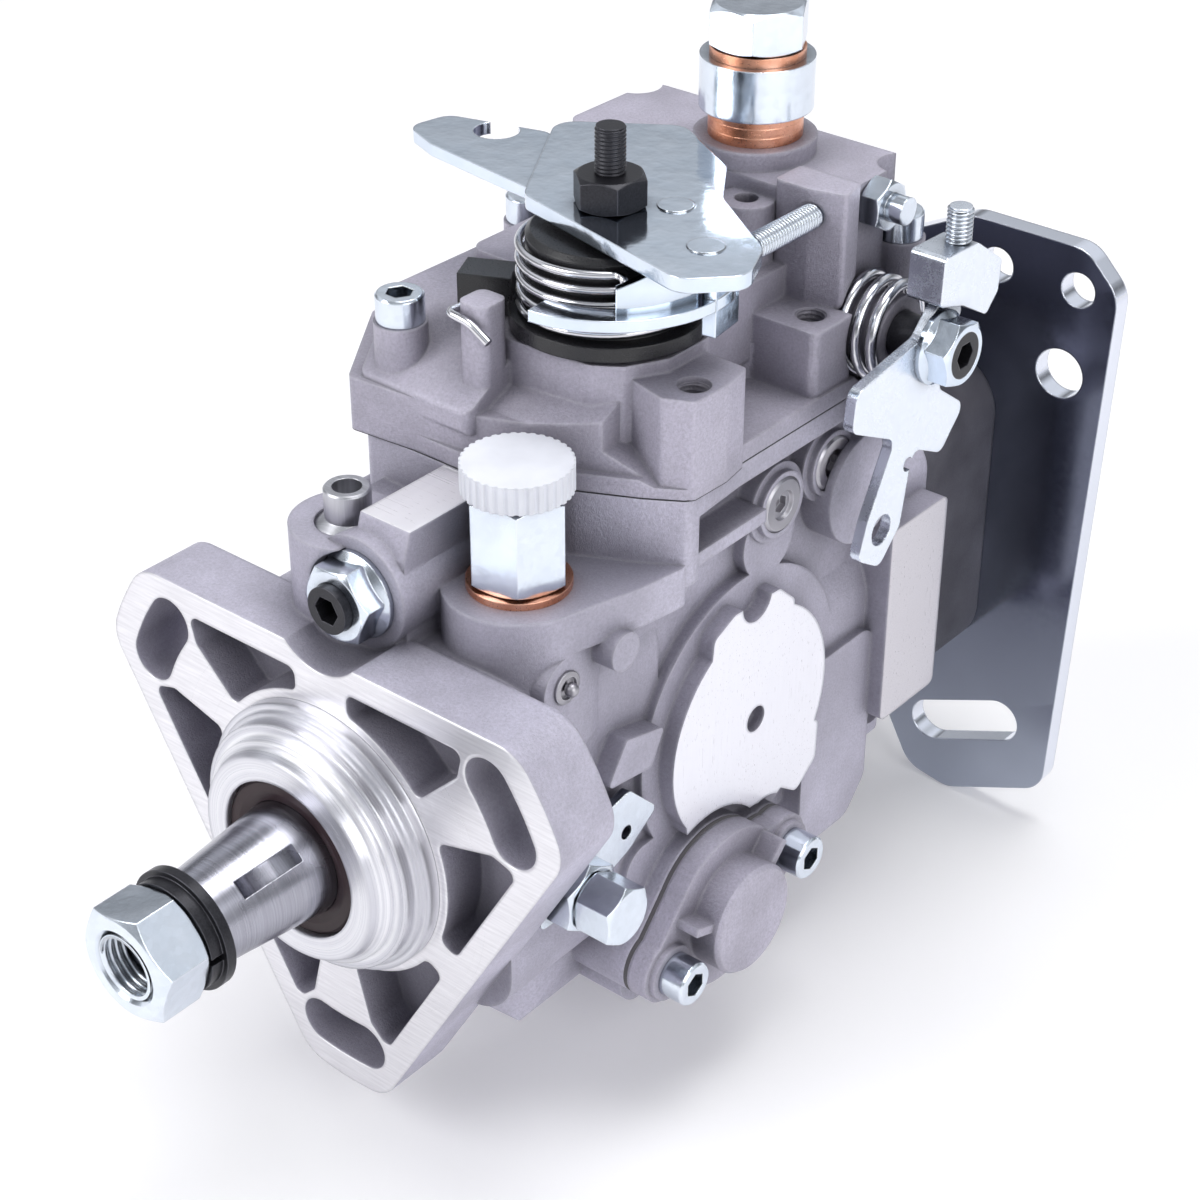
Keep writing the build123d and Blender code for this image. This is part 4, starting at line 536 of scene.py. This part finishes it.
def post_hook():
    """The spring end that is hooked round the cover's post."""
    points = rounded_path([(-4.1, 50, 97.2), (-4.1, 43.9, 97.6), (1.5, 43.9, 97.0), (6.3, 43.9, 94.2)], 1.6)
    wire("post_hook_wire", points, 1.8, wire_steel, "base")


def finger_web():
    """The upright web that joins the lever's finger to its plate."""
    inner, outer, low, steps = 21.8, 23.8, 103.6, 24
    x, y = THROTTLE_AXIS
    vertices, faces = [], []
    for k in range(steps + 1):
        share = k / steps
        angle = radians(-48 + 42 * share)
        high = 109.0 + 4.2 * min(1.0, 1.6 * share)
        for radius, z in ((inner, low), (outer, low), (outer, high), (inner, high)):
            vertices.append(((x + radius * cos(angle)) * MM, (y + radius * sin(angle)) * MM, z * MM))
    for k in range(steps):
        for j in range(4):
            a, b = 4 * k + j, 4 * k + (j + 1) % 4
            faces.append((a, b, b + 4, a + 4))
    last = 4 * steps
    faces += [(3, 2, 1, 0), (last, last + 1, last + 2, last + 3)]
    mesh = bpy.data.meshes.new("finger_web")
    mesh.from_pydata(vertices, [], faces)
    mesh.shade_smooth()
    mesh.set_sharp_from_angle(angle=SHARP_ANGLE)
    add_piece("finger_web", mesh, mirror_zinc, "throttle")


throttle_spring()
stop_spring()
post_hook()
finger_web()

ALONG_Y = (0, 1, 0)
ALONG_Z = (0, 0, 1)
THROTTLE_STUD = (black_metal, "throttle", "black_steel")
STOP_STUD = (bright_zinc, "stop", "zinc_steel")
SPEED_SCREW = (bright_zinc, "base", "zinc_steel")
SHAFT_NUT = (bright_zinc, "shaft", "zinc_steel")
COVER_HOLE = (cover_metal, "base", "cover_aluminium")

# Name, foot, axis, crest radius, root radius, pitch and length, then material, body and slot
THREADS = [
    ("control_thread", (*THROTTLE_AXIS, 122.8), ALONG_Z, 3.05, 2.78, 0.8, 8.8, *THROTTLE_STUD),
    ("stop_stud_thread", (55, 132, 96), ALONG_Z, 2.75, 2.28, 0.9, 10.3, *STOP_STUD),
    ("speed_screw_thread", (32, 93, 104.5), ALONG_Y, 2.7, 2.28, 0.9, 19.8, *SPEED_SCREW),
    ("nut_thread", (0, -54.2, 0), ALONG_Y, 6.25, 7.04, 1.5, 6.0, *SHAFT_NUT),
    ("cover_thread_front", (39.8, 65, 75), ALONG_Z, 3.0, 3.39, 1.0, 12.0, *COVER_HOLE),
    ("cover_thread_rear", (35.4, 109.3, 74.5), ALONG_Z, 2.9, 3.29, 1.0, 10.2, *COVER_HOLE),
]
for row in THREADS:
    thread(*row)

for node in nodes.values():
    node.data.shade_smooth()
    node.data.set_sharp_from_angle(angle=SHARP_ANGLE)


FLOOR_HALF = 4.0
# How much whiter the floor looks to the camera and in reflections, near the object and far off
FLOOR_GLOW = (0.12, 0.62)
LAMP_SIZE = 0.7
# The surround in reflections, from straight below (0) to straight above (1), and its brightness there
SKY = [(0.0, 0.80), (0.48, 0.90), (0.54, 0.50), (0.62, 0.16), (0.70, 0.62), (0.76, 0.90), (0.83, 0.86),
       (0.90, 0.28), (1.0, 0.75)]


def add_floor():
    """A white floor just under the object."""
    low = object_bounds()[0]
    mesh = bpy.data.meshes.new("floor")
    corners = [(FLOOR_HALF * x, FLOOR_HALF * y, 0) for x, y in ((-1, -1), (1, -1), (1, 1), (-1, 1))]
    mesh.from_pydata(corners, [], [(0, 1, 2, 3)])
    floor = bpy.data.objects.new("floor", mesh)
    floor.location.z = low.z - 0.0005
    net = Net(bpy.data.materials.new("floor_white"))
    grain = net.noise(3, 2, 0.5)
    tone = net.mix(net.fit(grain, 0.3, 0.7), (0.93, 0.93, 0.935), (0.95, 0.95, 0.955))
    rays = net.add("ShaderNodeLightPath").outputs
    seen = net.math("MAXIMUM", rays["Is Camera Ray"], rays["Is Glossy Ray"])
    x, y, _ = net.split(net.place)
    glow = net.fit(net.distance(x, y), 0.35, 1.8, *FLOOR_GLOW)
    net.put(net.shader.inputs["Emission Strength"], net.math("MULTIPLY", seen, glow))
    mesh.materials.append(net.finish(colour=tone, rough=0.85, specular=0.2))
    bpy.context.scene.collection.objects.link(floor)


def add_lamp(name, place, target, power):
    """A square lamp that faces its target."""
    data = bpy.data.lights.new(name, "AREA")
    data.shape = "SQUARE"
    data.size = LAMP_SIZE
    data.energy = power
    lamp = bpy.data.objects.new(name, data)
    lamp.location = place
    lamp.rotation_mode = "QUATERNION"
    lamp.rotation_quaternion = (Vector(target) - Vector(place)).to_track_quat("-Z", "Y")
    bpy.context.scene.collection.objects.link(lamp)


def add_world():
    """Soft grey light for the object, grey bands in its reflections, and white for the camera."""
    net = Net(bpy.data.worlds.new("studio"), "Background")
    height = net.fit(net.split(net.coords.outputs["Generated"])[2], -1.0, 1.0)
    ramp = net.add("ShaderNodeValToRGB", {0: height})
    while len(ramp.color_ramp.elements) < len(SKY):
        ramp.color_ramp.elements.new(0.5)
    for element, (position, level) in zip(ramp.color_ramp.elements, SKY):
        element.position = position
        element.color = (0.97 * level, level, 1.05 * level, 1.0)
    rays = net.add("ShaderNodeLightPath").outputs
    seen = net.math("MAXIMUM", rays["Is Glossy Ray"], rays["Is Transmission Ray"])
    soft = net.mix(seen, (0.34, 0.34, 0.37), ramp.outputs[0])
    net.put(net.shader.inputs["Color"], net.mix(rays["Is Camera Ray"], soft, (1.0, 1.0, 1.0)))
    net.put(net.shader.inputs["Strength"], 1.0)
    bpy.context.scene.world = net.owner


add_camera()
add_floor()
add_lamp("key", (-0.55, -0.85, 0.75), (0, 0.02, 0), 8.0)
add_lamp("top", (0.10, 0.30, 1.15), (0, 0.08, 0.03), 7.5)
add_lamp("fill", (0.95, -0.15, 0.50), (0, 0.08, 0), 4.2)
add_world()
bpy.context.scene.view_settings.view_transform = "Standard"
